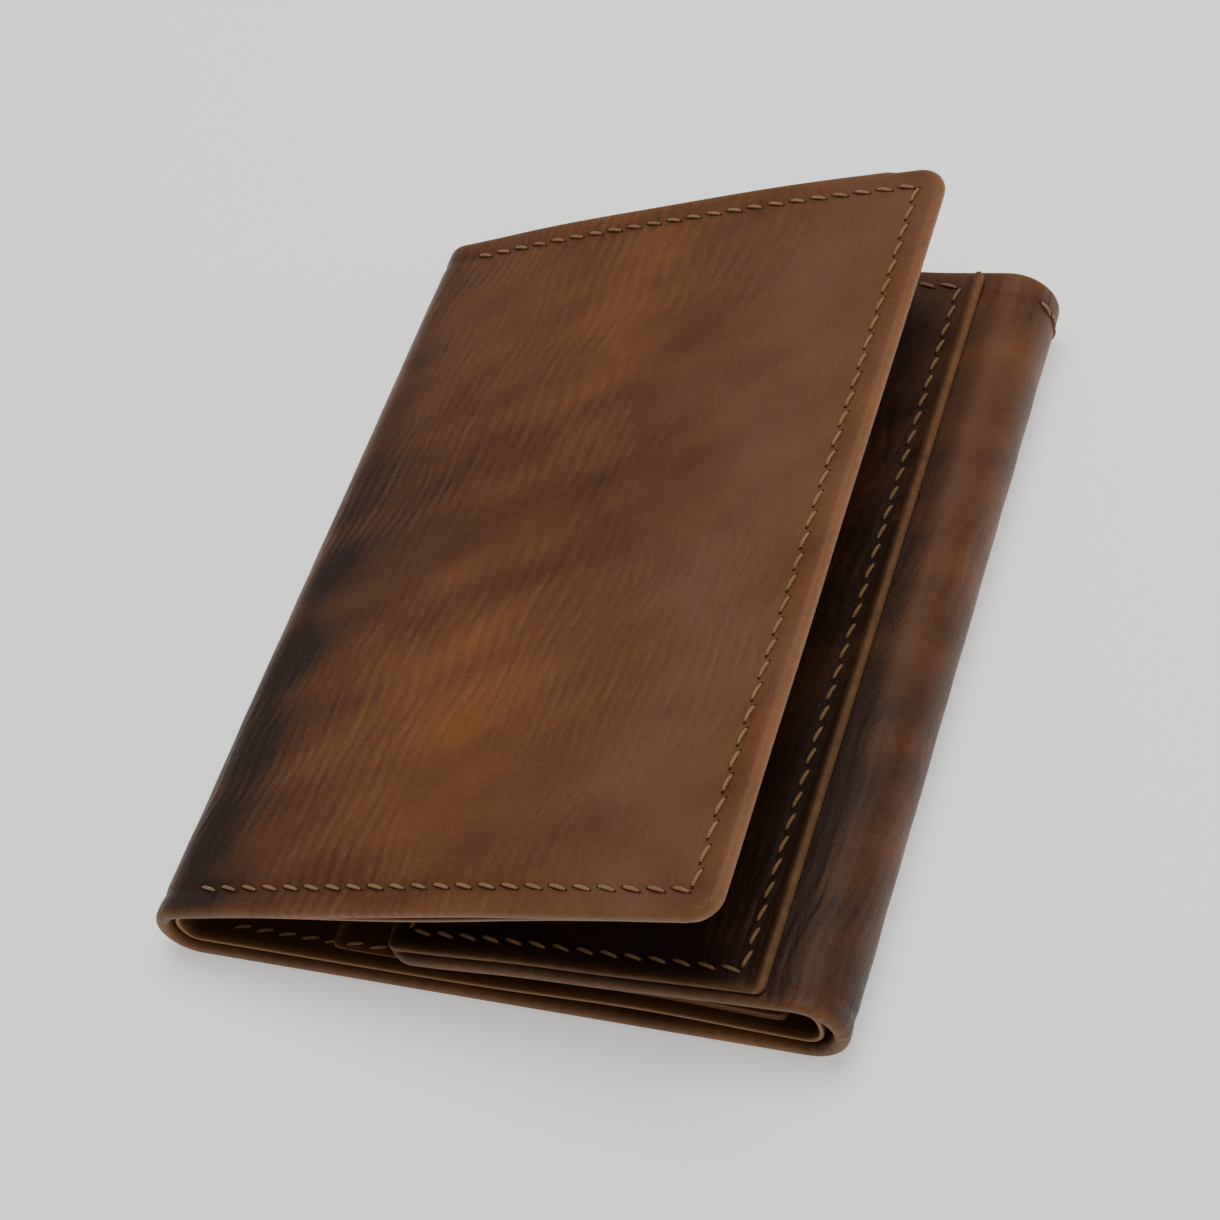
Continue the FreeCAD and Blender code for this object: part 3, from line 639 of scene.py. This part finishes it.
# ---------------------------------------------------------------- finishes
class Flow:
    """A value on its way through a material. Arithmetic on it adds Math nodes."""

    def __init__(self, finish, socket):
        self.finish = finish
        self.socket = socket

    def __add__(self, other):
        return self.finish.math("ADD", self, other)

    def __sub__(self, other):
        return self.finish.math("SUBTRACT", self, other)

    def __rsub__(self, other):
        return self.finish.math("SUBTRACT", other, self)

    def __mul__(self, other):
        return self.finish.math("MULTIPLY", self, other)

    __radd__ = __add__
    __rmul__ = __mul__


class Finish:
    """A material under construction, and the ways of adding nodes to it."""

    def __init__(self, name):
        self.material = bpy.data.materials.new(name)
        self.material.use_nodes = True
        self.tree = self.material.node_tree
        self.shader = self.tree.nodes["Principled BSDF"]

    def connect(self, socket, value):
        if isinstance(value, Flow):
            self.tree.links.new(value.socket, socket)
        elif hasattr(socket.default_value, "__len__") and len(socket.default_value) == 4:
            socket.default_value = (*value, 1.0)[:4]
        else:
            socket.default_value = value

    def node(self, kind, settings=None, inputs=None, output=0):
        """Add a node: its settings first, then its sockets' values or links."""
        made = self.tree.nodes.new(kind)
        for key, value in (settings or {}).items():
            setattr(made, key, value)
        for key, value in (inputs or {}).items():
            self.connect(made.inputs[key], value)
        return Flow(self, made.outputs[output])

    def math(self, operation, first, second=0.0, clamp=False):
        settings = {"operation": operation, "use_clamp": clamp}
        return self.node("ShaderNodeMath", settings, {0: first, 1: second})

    def clamp(self, value):
        return self.math("ADD", value, 0.0, clamp=True)

    def value(self, name):
        return self.node("ShaderNodeAttribute", {"attribute_name": name}, output="Fac")

    def lay(self):
        """The point's own run, height and depth, which stay with the leather as it bends."""
        return self.node("ShaderNodeAttribute", {"attribute_name": "lay"}, output="Vector")

    def mix(self, factor, first, second):
        settings = {"data_type": "RGBA", "clamp_factor": True}
        return self.node("ShaderNodeMix", settings, {0: factor, 6: first, 7: second}, output=2)

    def noise(self, where, scale, detail=4.0, roughness=0.55):
        inputs = {"Vector": where, "Scale": scale, "Detail": detail, "Roughness": roughness}
        return self.node("ShaderNodeTexNoise", None, inputs, output="Fac")

    def cells(self, where, scale):
        inputs = {"Vector": where, "Scale": scale}
        return self.node("ShaderNodeTexVoronoi", None, inputs, output="Distance")

    def stretch(self, where, scale):
        inputs = {"Vector": where, "Scale": scale}
        return self.node("ShaderNodeMapping", {"vector_type": "POINT"}, inputs)

    def bump(self, height, strength, distance):
        inputs = {"Height": height, "Strength": strength, "Distance": distance}
        return self.node("ShaderNodeBump", None, inputs)

    def dress(self, **sockets):
        for name, value in sockets.items():
            self.connect(self.shader.inputs[name.replace("_", " ")], value)
        return self.material


def pull_up_leather():
    """Waxed pull-up leather: tone from the patches of wax and from painted shade, a painted sheen, a
    rim that is partly edge wear and partly painted highlight, growth wrinkles, grain and pores.
    """
    c = colours()
    f = Finish("pull_up_leather")
    lay = f.lay()
    cloud = f.noise(lay, 170.0, 5.0, 0.6)
    mottle = f.noise(lay, 620.0, 5.0, 0.65)
    grain = f.noise(lay, 2300.0, 3.0, 0.6)
    pores = f.cells(lay, 2300.0)
    breaks = f.noise(f.stretch(lay, (1.0, 0.35, 1.0)), 520.0, 3.0, 0.6)
    ripple = f.math("SINE", (f.value("phase") + (breaks - 0.5) * 0.7) * (2 * pi))
    strength = f.clamp((breaks - 0.36) * 3.2) * f.value("strength")
    ripple = ripple * strength
    tone = (f.value("tone") + (cloud - 0.5) * 0.42 + (mottle - 0.5) * 0.42
            + (grain - 0.5) * 0.75 + ripple * 0.36)
    tone = tone - f.value("seam") * 0.12
    # Below a tone of 0 the colour goes to dark: the wax patches, and on the tuck fold and tuck flap
    # painted shade.
    deep = f.mix(f.clamp(0.0 - tone), c.brown, c.dark)
    pulled = f.mix(f.clamp(tone), deep, c.amber)
    # Painted sheen: the colour is drawn towards a greyer brown by the share of painted sheen.
    dull = f.mix(f.clamp(f.value("painted_sheen") * (0.35 + cloud)), pulled,
                 f.mix(f.clamp(tone * 0.5 + 0.75), c.brown, c.sheen_and_scratch))
    # The golden rim: partly edge wear, partly a painted highlight.
    rim_wear_and_highlight = f.clamp(f.value("edge") * (0.1 + mottle * 0.55))
    skin = f.mix(rim_wear_and_highlight, dull, c.edge)
    scratch_lay = f.stretch(lay, (9.0, 1.0, 1.0))
    scratches = f.clamp((f.noise(scratch_lay, 260.0, 2.0, 0.5) - 0.70) * 9.0)
    skin = f.mix(scratches * 0.16, skin, c.sheen_and_scratch)
    height = (ripple * 0.7 + (mottle - 0.5) * 0.6 + (grain - 0.5) * 0.75
              - f.clamp(0.35 - pores) * 0.7)
    normal = f.bump(height, 0.55, 0.00022)
    rough = 0.50 + (mottle - 0.5) * 0.22 + (grain - 0.5) * 0.18 - f.value("tone") * 0.04
    return f.dress(Base_Color=skin, Roughness=rough, Normal=normal, Specular_IOR_Level=0.24,
                   Sheen_Weight=0.06, Sheen_Roughness=0.5)


def smooth_leather():
    """Smoother waxed leather, a little darker and evener than the shell."""
    c = colours()
    f = Finish("smooth_leather")
    lay = f.lay()
    cloud = f.noise(lay, 120.0, 5.0, 0.6)
    grain = f.noise(lay, 3000.0, 3.0, 0.6)
    pores = f.cells(lay, 2600.0)
    # The tone brings in a little of the wax patches and of the painted shade on the tuck fold and tuck
    # flap.
    tone = f.clamp((cloud - 0.35) * 1.3 + (grain - 0.5) * 0.7 + f.value("tone") * 0.15)
    skin = f.mix(tone, c.inner, c.inner_light)
    # The golden rim on the inner leather: partly edge wear, partly a painted highlight.
    skin = f.mix(f.clamp(f.value("edge") * 0.75), skin, c.edge)
    height = (grain - 0.5) * 0.6 - f.clamp(0.35 - pores) * 0.6 + (cloud - 0.5)
    normal = f.bump(height, 0.45, 0.00018)
    rough = 0.47 + (grain - 0.5) * 0.2 + (cloud - 0.5) * 0.2
    return f.dress(Base_Color=skin, Roughness=rough, Normal=normal, Specular_IOR_Level=0.4)


def lining_cloth():
    """Plain woven lining: two sets of fine yarns that pass over each other in turn."""
    c = colours()
    f = Finish("lining_cloth")
    lay = f.lay()
    yarns = {"Vector": lay, "Scale": 620.0, "Distortion": 0.6}
    warp, weft = (f.node("ShaderNodeTexWave", {"wave_type": "BANDS", "bands_direction": way},
                         yarns, output="Fac") for way in "XY")
    yarn = f.math("MAXIMUM", warp, weft) * (0.7 + f.noise(lay, 900.0) * 0.6)
    skin = f.mix(f.clamp(yarn), c.lining, c.lining_light)
    normal = f.bump(warp + weft, 0.5, 0.00012)
    return f.dress(Base_Color=skin, Roughness=0.78 - yarn * 0.12, Normal=normal,
                   Specular_IOR_Level=0.3)


def waxed_thread():
    """Two plies twisted together, lighter on top, with painted shade in the hollows between them."""
    c = colours()
    f = Finish("waxed_thread")
    where = f.node("ShaderNodeTexCoord", output="Object")
    plies = f.math("SINE", f.value("twist") * (4 * pi)) * 0.5 + 0.5
    fuzz = f.noise(where, 5200.0, 3.0)
    age = f.noise(where, 90.0, 2.0)
    tone = f.clamp(plies * 0.8 + (fuzz - 0.5) * 0.7 + (age - 0.5) * 0.8)
    normal = f.bump(plies + fuzz * 0.4, 0.6, 0.00012)
    return f.dress(Base_Color=f.mix(tone, c.thread_hollow_shade, c.thread), Roughness=0.62 - plies * 0.12,
                   Normal=normal, Specular_IOR_Level=0.35)


def needle_hole():
    """Shaded inside of a hole, a little uneven."""
    c = colours()
    f = Finish("needle_hole")
    where = f.node("ShaderNodeTexCoord", output="Object")
    tone = f.noise(where, 2600.0, 2.0)
    return f.dress(Base_Color=f.mix(tone, c.hole, c.inner), Roughness=0.75 + tone * 0.2,
                   Specular_IOR_Level=0.15)


def clear_sheet():
    """Soft clear sheet with faint scuffs."""
    c = colours()
    f = Finish("clear_sheet")
    lay = f.lay()
    scuffs = f.noise(f.stretch(lay, (1.0, 6.0, 1.0)), 500.0, 5.0, 0.7)
    normal = f.bump(f.noise(lay, 60.0, 2.0) + scuffs * 0.1, 0.3, 0.0003)
    made = f.dress(Base_Color=f.mix(scuffs, c.window, (0.7, 0.7, 0.68)), Alpha=0.04 + scuffs * 0.1,
                   Roughness=0.12 + scuffs * 0.22, Normal=normal, IOR=1.49)
    made.surface_render_method = "BLENDED"
    return made


def pale_floor():
    """Matt white with a faint even glow, so that it stays pale under the soft light."""
    f = Finish("pale_floor")
    where = f.node("ShaderNodeTexCoord", output="Object")
    cloud = f.noise(where, 3.0, 2.0)
    return f.dress(Base_Color=f.mix(cloud, (0.90, 0.90, 0.90), (0.93, 0.93, 0.93)),
                   Roughness=0.9, Specular_IOR_Level=0.0, Emission_Color=(1.0, 1.0, 1.0),
                   Emission_Strength=0.5)


FINISHES = {
    "pull_up_leather": pull_up_leather, "smooth_leather": smooth_leather, "lining_cloth": lining_cloth,
    "waxed_thread": waxed_thread, "needle_hole": needle_hole, "clear_sheet": clear_sheet,
    "pale_floor": pale_floor,
}


def finish_of(name):
    return bpy.data.materials.get(name) or FINISHES[name]()


# ---------------------------------------------------------------- setting pieces on the frame
def settle(piece, body, finishes, nodes):
    """Give a piece its finishes and hide the frame nodes it stands for. A piece on one body rides on
    that body; one that crosses a crease stays where it lies.
    """
    for name in finishes:
        piece.data.materials.append(finish_of(name))
    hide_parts(*nodes)
    if isinstance(body, str):
        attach(piece, body)
    else:
        first, second, run, before, after = body
        crease, way = crease_at(Course(), run)
        crease - way * before
        crease + way * after
        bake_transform(piece)


def crease_at(course, run):
    """Place of the outer face at a run, and the way it is going there."""
    step = 0.01 * MM
    x, z, _, _ = along_course(course, np.array([run - step, run, run + step]))
    way = Vector((x[2] - x[0], 0, z[2] - z[0])).normalized()
    return Vector((x[1], 0, z[1])), way


def bends(course, depth):
    """How each sheet that crosses a crease bends: its two bodies, the crease, and how far the bend
    reaches before and after it. A layer nearer a fold's middle has the shorter reach."""
    front = (course.front_radius - depth) * sin(course.front_turn / 4)
    tuck = (course.tuck_radius - depth) * sin(course.tuck_turn / 4)
    split = (course.front_radius - depth) * sin(FLAP_SPLIT)
    return {
        "front_flap": ("front_flap", "front_crease", course.front_start, 2.5 * MM,
                       (course.front_radius - depth) * sin(course.front_turn / 4 - FLAP_SPLIT)),
        "front_crease": ("front_crease", "front_fold", course.front(course.front_turn * 3 / 4),
                         split, front),
        "back_panel": ("front_fold", "back_panel", course.front(course.front_turn / 4),
                       front, front),
        "tuck_fold": ("back_panel", "tuck_fold", course.tuck(course.tuck_turn / 4), tuck, tuck),
        "tuck_flap": ("tuck_fold", "tuck_flap", course.tuck(course.tuck_turn * 3 / 4), tuck, tuck),
    }


def strip_ends(course):
    """Where the leather is divided between bodies: at the middle of each fold's strip, and in the
    front fold again beyond its second crease."""
    return {
        "front_flap": (0.0, course.front(course.front_turn * 3 / 4 + FLAP_SPLIT)),
        "front_crease": (course.front(course.front_turn * 3 / 4 + FLAP_SPLIT),
                         course.front(course.front_turn / 2)),
        "back_panel": (course.front(course.front_turn / 2), course.tuck_start),
        "tuck_fold": (course.tuck_start, course.tuck(course.tuck_turn / 2)),
        "tuck_flap": (course.tuck(course.tuck_turn / 2), course.end),
    }


class WALLET_OT_shell(bpy.types.Operator):
    """Lay the outer leather round the wallet, in five sheets that meet in the folds"""
    bl_idname = "wallet.shell"
    bl_label = "Outer leather"

    def execute(self, context):
        course = Course()
        ends = strip_ends(course)
        bend = bends(course, 0.0)
        seams = (("outline", stitching().inset),)
        stands_for = {
            "front_flap": ["front_flap_shell"], "front_crease": ["front_crease_shell"],
            "back_panel": ["back_shell", "front_fold_shell"], "tuck_fold": ["tuck_fold_shell"],
            "tuck_flap": ["tuck_flap_shell"],
        }
        for body, (start, end) in ends.items():
            free = body == "front_flap", body == "tuck_flap"
            fine = 0.45 * MM if "fold" in body or "crease" in body else 0.0
            piece = make_panel(Panel(
                body + "_leather", start, end, HALF, 0.0, sizes().shell, *free, sizes().corner,
                sizes().hem, seams=seams, step=fine))
            settle(piece, bend[body], ["pull_up_leather"], stands_for[body])
        return {"FINISHED"}


class WALLET_OT_inner(bpy.types.Operator):
    """Lay the inner leather under the shell, with ribbons that curl through the folds"""
    bl_idname = "wallet.inner"
    bl_label = "Inner leather"

    def execute(self, context):
        course = Course()
        ends = strip_ends(course)
        deepest = sizes().inner_depth + sizes().inner + 0.9 * MM
        bend = bends(course, deepest)
        seams = (("outline", stitching().inset - sizes().setback),)
        names = {
            "front_flap": ("front_flap_inner", ["front_flap_inner_panel"]),
            "front_crease": ("front_crease_inner_ribbon", ["front_crease_ribbon"]),
            "back_panel": ("back_inner", ["back_inner_panel", "front_fold_ribbon"]),
            "tuck_fold": ("tuck_inner_ribbon", ["tuck_fold_ribbon"]),
            "tuck_flap": ("tuck_flap_inner", ["tuck_flap_inner_panel"]),
        }
        for body, (start, end) in ends.items():
            free = body == "front_flap", body == "tuck_flap"
            start = start + sizes().setback * free[0]
            end = end - sizes().setback * free[1]
            name, stands_for = names[body]
            fine = 0.4 * MM if "ribbon" in name else 0.8 * MM
            piece = make_panel(Panel(
                name, start, end, INNER_HALF, sizes().inner_depth, sizes().inner, *free,
                sizes().corner - sizes().setback, inner_layer=True, seams=seams, step=fine))
            settle(piece, bend[body], ["smooth_leather"], stands_for)
        return {"FINISHED"}


class WALLET_OT_linings(bpy.types.Operator):
    """Lay the woven lining of the note compartment against the shell"""
    bl_idname = "wallet.linings"
    bl_label = "Linings"

    def execute(self, context):
        course = Course()
        spans = {
            "front_flap": (sizes().hem_width, course.front_start - 0.5 * MM),
            "back": (course.back_start, course.tuck_start),
            "tuck_flap": (course.tuck_end, course.end - sizes().hem_width),
        }
        for side, (start, end) in spans.items():
            piece = make_panel(Panel(
                f"{side}_lining_cloth", start, end, LINING_HALF, sizes().shell + 0.02 * MM,
                sizes().lining, True, True, step=2.0 * MM))
            body = "back_panel" if side == "back" else side
            settle(piece, body, ["lining_cloth"], [f"{side}_lining"])
        return {"FINISHED"}


def pocket_span(body, number):
    """Run of a card pocket's two ends, by body and its number from the panel outwards."""
    course = Course()
    width = sizes().pocket_width - number * sizes().pocket_step
    if body == "back":
        high = course.tuck_start - sizes().pocket_margin
        return high - width, high
    low = sizes().pocket_margin
    return low, low + width


def face_depth(body):
    """Depth of the innermost face at a place: the inner panel's, and one step for each pocket
    that lies there."""
    course = Course()
    pockets = {"back": 3, "front_flap": 2}.get(body, 0)
    spans = [pocket_span(body, number) for number in range(pockets)]

    def depth(run, height):
        inner = sizes().inner_depth + sizes().inner
        total = inner + gape(course, run, height) + fold_slack(course, run)
        for low, high in spans:
            total = total + sizes().pocket * ((run > low) & (run < high))
        return total

    return depth


class WALLET_OT_card_pockets(bpy.types.Operator):
    """Set the stepped card pockets on the back panel and the front flap"""
    bl_idname = "wallet.card_pockets"
    bl_label = "Card pockets"

    def execute(self, context):
        for body, count in (("back", 3), ("front_flap", 2)):
            mouth = "start" if body == "back" else "end"
            for number in range(count):
                low, high = pocket_span(body, number)
                depth = sizes().inner_depth + sizes().inner + number * sizes().pocket
                mouth_row = low + POCKET_MOUTH_ROW if mouth == "start" else high - POCKET_MOUTH_ROW
                piece = make_panel(Panel(
                    f"{body}_pocket_{number + 1}", low, high, POCKET_HALF, depth, sizes().pocket,
                    True, True, 1.0 * MM, inner_layer=True, bead=mouth, step=0.9 * MM,
                    seams=(("outline", stitching().inset - sizes().pocket_margin),
                           ("run", mouth_row))))
                settle(piece, "back_panel" if body == "back" else body,
                       ["smooth_leather"], [f"{body}_card_pocket_{number + 1}"])
        return {"FINISHED"}


def window_opening(course):
    """Low and high run and height of the card window's opening."""
    border = sizes().pocket_margin + sizes().window_border
    half = POCKET_HALF - sizes().window_border
    return course.on_tuck(border), course.end - border, -half, half


class WALLET_OT_card_window(bpy.types.Operator):
    """Set the card window on the tuck flap: a leather border and its clear sheet"""
    bl_idname = "wallet.card_window"
    bl_label = "Card window"

    def execute(self, context):
        course = Course()
        low, high, bottom, top = window_opening(course)
        depth = sizes().inner_depth + sizes().inner
        border = make_panel(Panel(
            "card_window_border", course.on_tuck(sizes().pocket_margin),
            course.end - sizes().pocket_margin, POCKET_HALF, depth, sizes().pocket, True, True,
            2.0 * MM, inner_layer=True, seams=(("outline", WINDOW_ROW),),
            hole=(low, high, bottom, top), step=0.8 * MM))
        settle(border, "tuck_flap", ["smooth_leather"], ["id_window_frame"])
        lap = sizes().window_lap
        sheet = make_panel(Panel(
            "card_window_sheet", low - lap, high + lap, top + lap, depth + 0.02 * MM,
            sizes().window_sheet, True, True, step=2.0 * MM))
        settle(sheet, "tuck_flap", ["clear_sheet"], ["id_window_sheet"])
        return {"FINISHED"}


class WALLET_OT_outer_pocket(bpy.types.Operator):
    """Sew the outer pocket on the tuck flap, its turned edge beside the fold"""
    bl_idname = "wallet.outer_pocket"
    bl_label = "Outer pocket"

    def execute(self, context):
        course = Course()
        start = course.on_tuck(sizes().outer_pocket_setback)
        piece = make_panel(Panel(
            "outer_pocket_leather", start, course.end - sizes().setback, INNER_HALF,
            -sizes().outer_pocket, sizes().outer_pocket, True, True, 1.2 * MM, bead="start",
            seams=(("outline", stitching().inset - OUTER_POCKET_ROW_OUT),), step=0.5 * MM))
        settle(piece, "tuck_flap", ["pull_up_leather"], ["outer_pocket"])
        return {"FINISHED"}


def outer_face(run, height):
    return 0 * run


def raised_face(run, height):
    return 0 * run - sizes().outer_pocket


def around(low, high, half, sides, depth, side):
    """Rows of a seam round a rectangle: near and far, and the ends that are named."""
    rows = [((low, -half), (high, -half), depth, side), ((high, half), (low, half), depth, side)]
    if "low" in sides:
        rows.append(((low, half), (low, -half), depth, side))
    if "high" in sides:
        rows.append(((high, -half), (high, half), depth, side))
    return rows


class WALLET_OT_stitching(bpy.types.Operator):
    """Sew every seam, stitch by stitch"""
    bl_idname = "wallet.stitching"
    bl_label = "Stitching"

    def execute(self, context):
        course = Course()
        inset = stitching().inset
        seam_half = HALF - inset
        quarter, turn = course.front_turn / 4, course.tuck_turn
        back_low, back_high = course.on_back(BACK_ROW_LEFT), course.on_back(BACK_ROW_RIGHT)
        pocket_end = pocket_span("back", 0)[1] - POCKET_ROW
        flap_end = course.front_start - ROW_SHORT_OF_FOLD
        window_end = course.end - sizes().pocket_margin
        window_half = POCKET_HALF - WINDOW_ROW
        window_start = course.on_tuck(sizes().pocket_margin)
        groups = {
            "front_flap_stitches": ("front_flap", ["front_flap_stitching"], around(
                inset, flap_end, seam_half, ["low"], outer_face, 1)),
            "front_flap_inner_stitches": ("front_flap", ["front_pocket_stitching"], around(
                inset, flap_end, seam_half, ["low"], face_depth("front_flap"), -1)),
            "front_fold_stitches": ("front_fold", ["front_fold_stitching"], around(
                course.front(quarter * 2.55), course.front(quarter * 1.3), seam_half, [],
                outer_face, 1)),
            "back_stitches": ("back_panel", ["back_stitching"], around(
                back_low, back_high, seam_half, [], outer_face, 1)),
            "back_inner_stitches": ("back_panel", ["back_pocket_stitching"], around(
                back_low, pocket_end, seam_half, ["high"], face_depth("back"), -1)),
            "tuck_fold_stitches": ("tuck_fold", ["tuck_fold_stitching"], around(
                course.tuck(turn * 0.3), course.tuck(turn * 0.72), seam_half, [],
                outer_face, 1)[1:]),  # the far row only
            "window_stitches": ("tuck_flap", ["window_stitching"], around(
                window_start + WINDOW_ROW, window_end - WINDOW_ROW, window_half, ["low", "high"],
                lambda run, height: face_depth("tuck_flap")(run, height) + sizes().pocket, -1)),
            "outer_pocket_stitches": ("tuck_flap", ["outer_pocket_stitching"], around(
                course.on_tuck(sizes().outer_pocket_setback + inset - OUTER_POCKET_ROW_OUT),
                course.end - inset, seam_half, ["low", "high"], raised_face, 1)),
        }
        for name, (body, stands_for, rows) in groups.items():
            piece = make_stitching(name, rows)
            settle(piece, body, ["waxed_thread", "needle_hole"], stands_for)
        return {"FINISHED"}


def area_light(name, place_at, aim, size, power, tint):
    """A soft square light at a place, turned to face another."""
    light = bpy.data.lights.new(name, "AREA")
    light.shape = "RECTANGLE"
    light.size, light.size_y = size
    light.energy = power
    light.color = tint
    made = bpy.data.objects.new(name, light)
    made.location = place_at
    made.rotation_euler = (Vector(aim) - Vector(place_at)).to_track_quat("-Z", "Y").to_euler()
    bpy.context.scene.collection.objects.link(made)


class WALLET_OT_stage(bpy.types.Operator):
    """Set the pale floor, the soft light and the camera"""
    bl_idname = "wallet.stage"
    bl_label = "Stage"

    def execute(self, context):
        self.lay_floor()
        self.hang_lights(context)
        self.set_camera(context)
        return {"FINISHED"}

    def lay_floor(self):
        mesh = bpy.data.meshes.new("floor")
        reach, level = 3.0, FLOOR_LEVEL
        corners = [(-reach, -reach, level), (reach, -reach, level), (reach, reach, level),
                   (-reach, reach, level)]
        mesh.from_pydata(corners, [], [(0, 1, 2, 3)])
        floor = bpy.data.objects.new("floor", mesh)
        mesh.materials.append(finish_of("pale_floor"))
        bpy.context.scene.collection.objects.link(floor)

    def hang_lights(self, context):
        world = bpy.data.worlds.new("studio")
        world.use_nodes = True
        world.node_tree.nodes["Background"].inputs["Color"].default_value = (1, 1, 1, 1)
        world.node_tree.nodes["Background"].inputs["Strength"].default_value = 0.22
        context.scene.world = world
        area_light("overhead", (0.05, 0.18, 0.75), (0, 0, 0), (0.6, 0.5), 4.6, (1, 0.98, 0.95))
        area_light("right_side", (0.75, 0.05, 0.35), (0, 0, 0), (0.3, 0.5), 0.9, (1, 0.95, 0.88))

    def set_camera(self, context):
        data = bpy.data.cameras.new("camera")
        data.sensor_width = 36.0
        data.lens = CAMERA_LENS
        data.clip_start, data.clip_end = 0.01, 20.0
        camera = bpy.data.objects.new("camera", data)
        back = -Vector(CAMERA_WAY).normalized()
        right = Vector(CAMERA_RIGHT)
        right = (right - back * right.dot(back)).normalized()
        up = back.cross(right)
        turn = Matrix((right, up, back)).transposed().to_4x4()
        turn.translation = Vector(CAMERA_PLACE)
        camera.matrix_world = turn
        context.scene.collection.objects.link(camera)
        context.scene.camera = camera


OPERATORS = (
    WALLET_OT_shell, WALLET_OT_inner, WALLET_OT_linings, WALLET_OT_card_pockets,
    WALLET_OT_card_window, WALLET_OT_outer_pocket, WALLET_OT_stitching, WALLET_OT_stage,
)


class WALLET_PT_sidebar(bpy.types.Panel):
    """The wallet's pieces, in the order they are made"""
    bl_idname = "WALLET_PT_sidebar"
    bl_label = "Trifold wallet"
    bl_space_type = "VIEW_3D"
    bl_region_type = "UI"
    bl_category = "Wallet"

    def draw(self, context):
        for operator in OPERATORS:
            self.layout.operator(operator.bl_idname)
        for group in (context.scene.wallet_sizes, context.scene.wallet_stitching,
                      context.scene.wallet_colours):
            box = self.layout.box()
            for name in group.__annotations__:
                box.prop(group, name)


GROUPS = {"wallet_sizes": WalletSizes, "wallet_stitching": WalletStitching,
          "wallet_colours": WalletColours}


def register():
    for made in (*GROUPS.values(), *OPERATORS, WALLET_PT_sidebar):
        bpy.utils.register_class(made)
    for name, group in GROUPS.items():
        setattr(bpy.types.Scene, name, bpy.props.PointerProperty(type=group))


def unregister():
    for name in GROUPS:
        delattr(bpy.types.Scene, name)
    for made in reversed((*GROUPS.values(), *OPERATORS, WALLET_PT_sidebar)):
        bpy.utils.unregister_class(made)


def main():
    register()
    for operator in OPERATORS:
        group, name = operator.bl_idname.split(".")
        getattr(getattr(bpy.ops, group), name)()


if __name__ == "__main__":
    main()
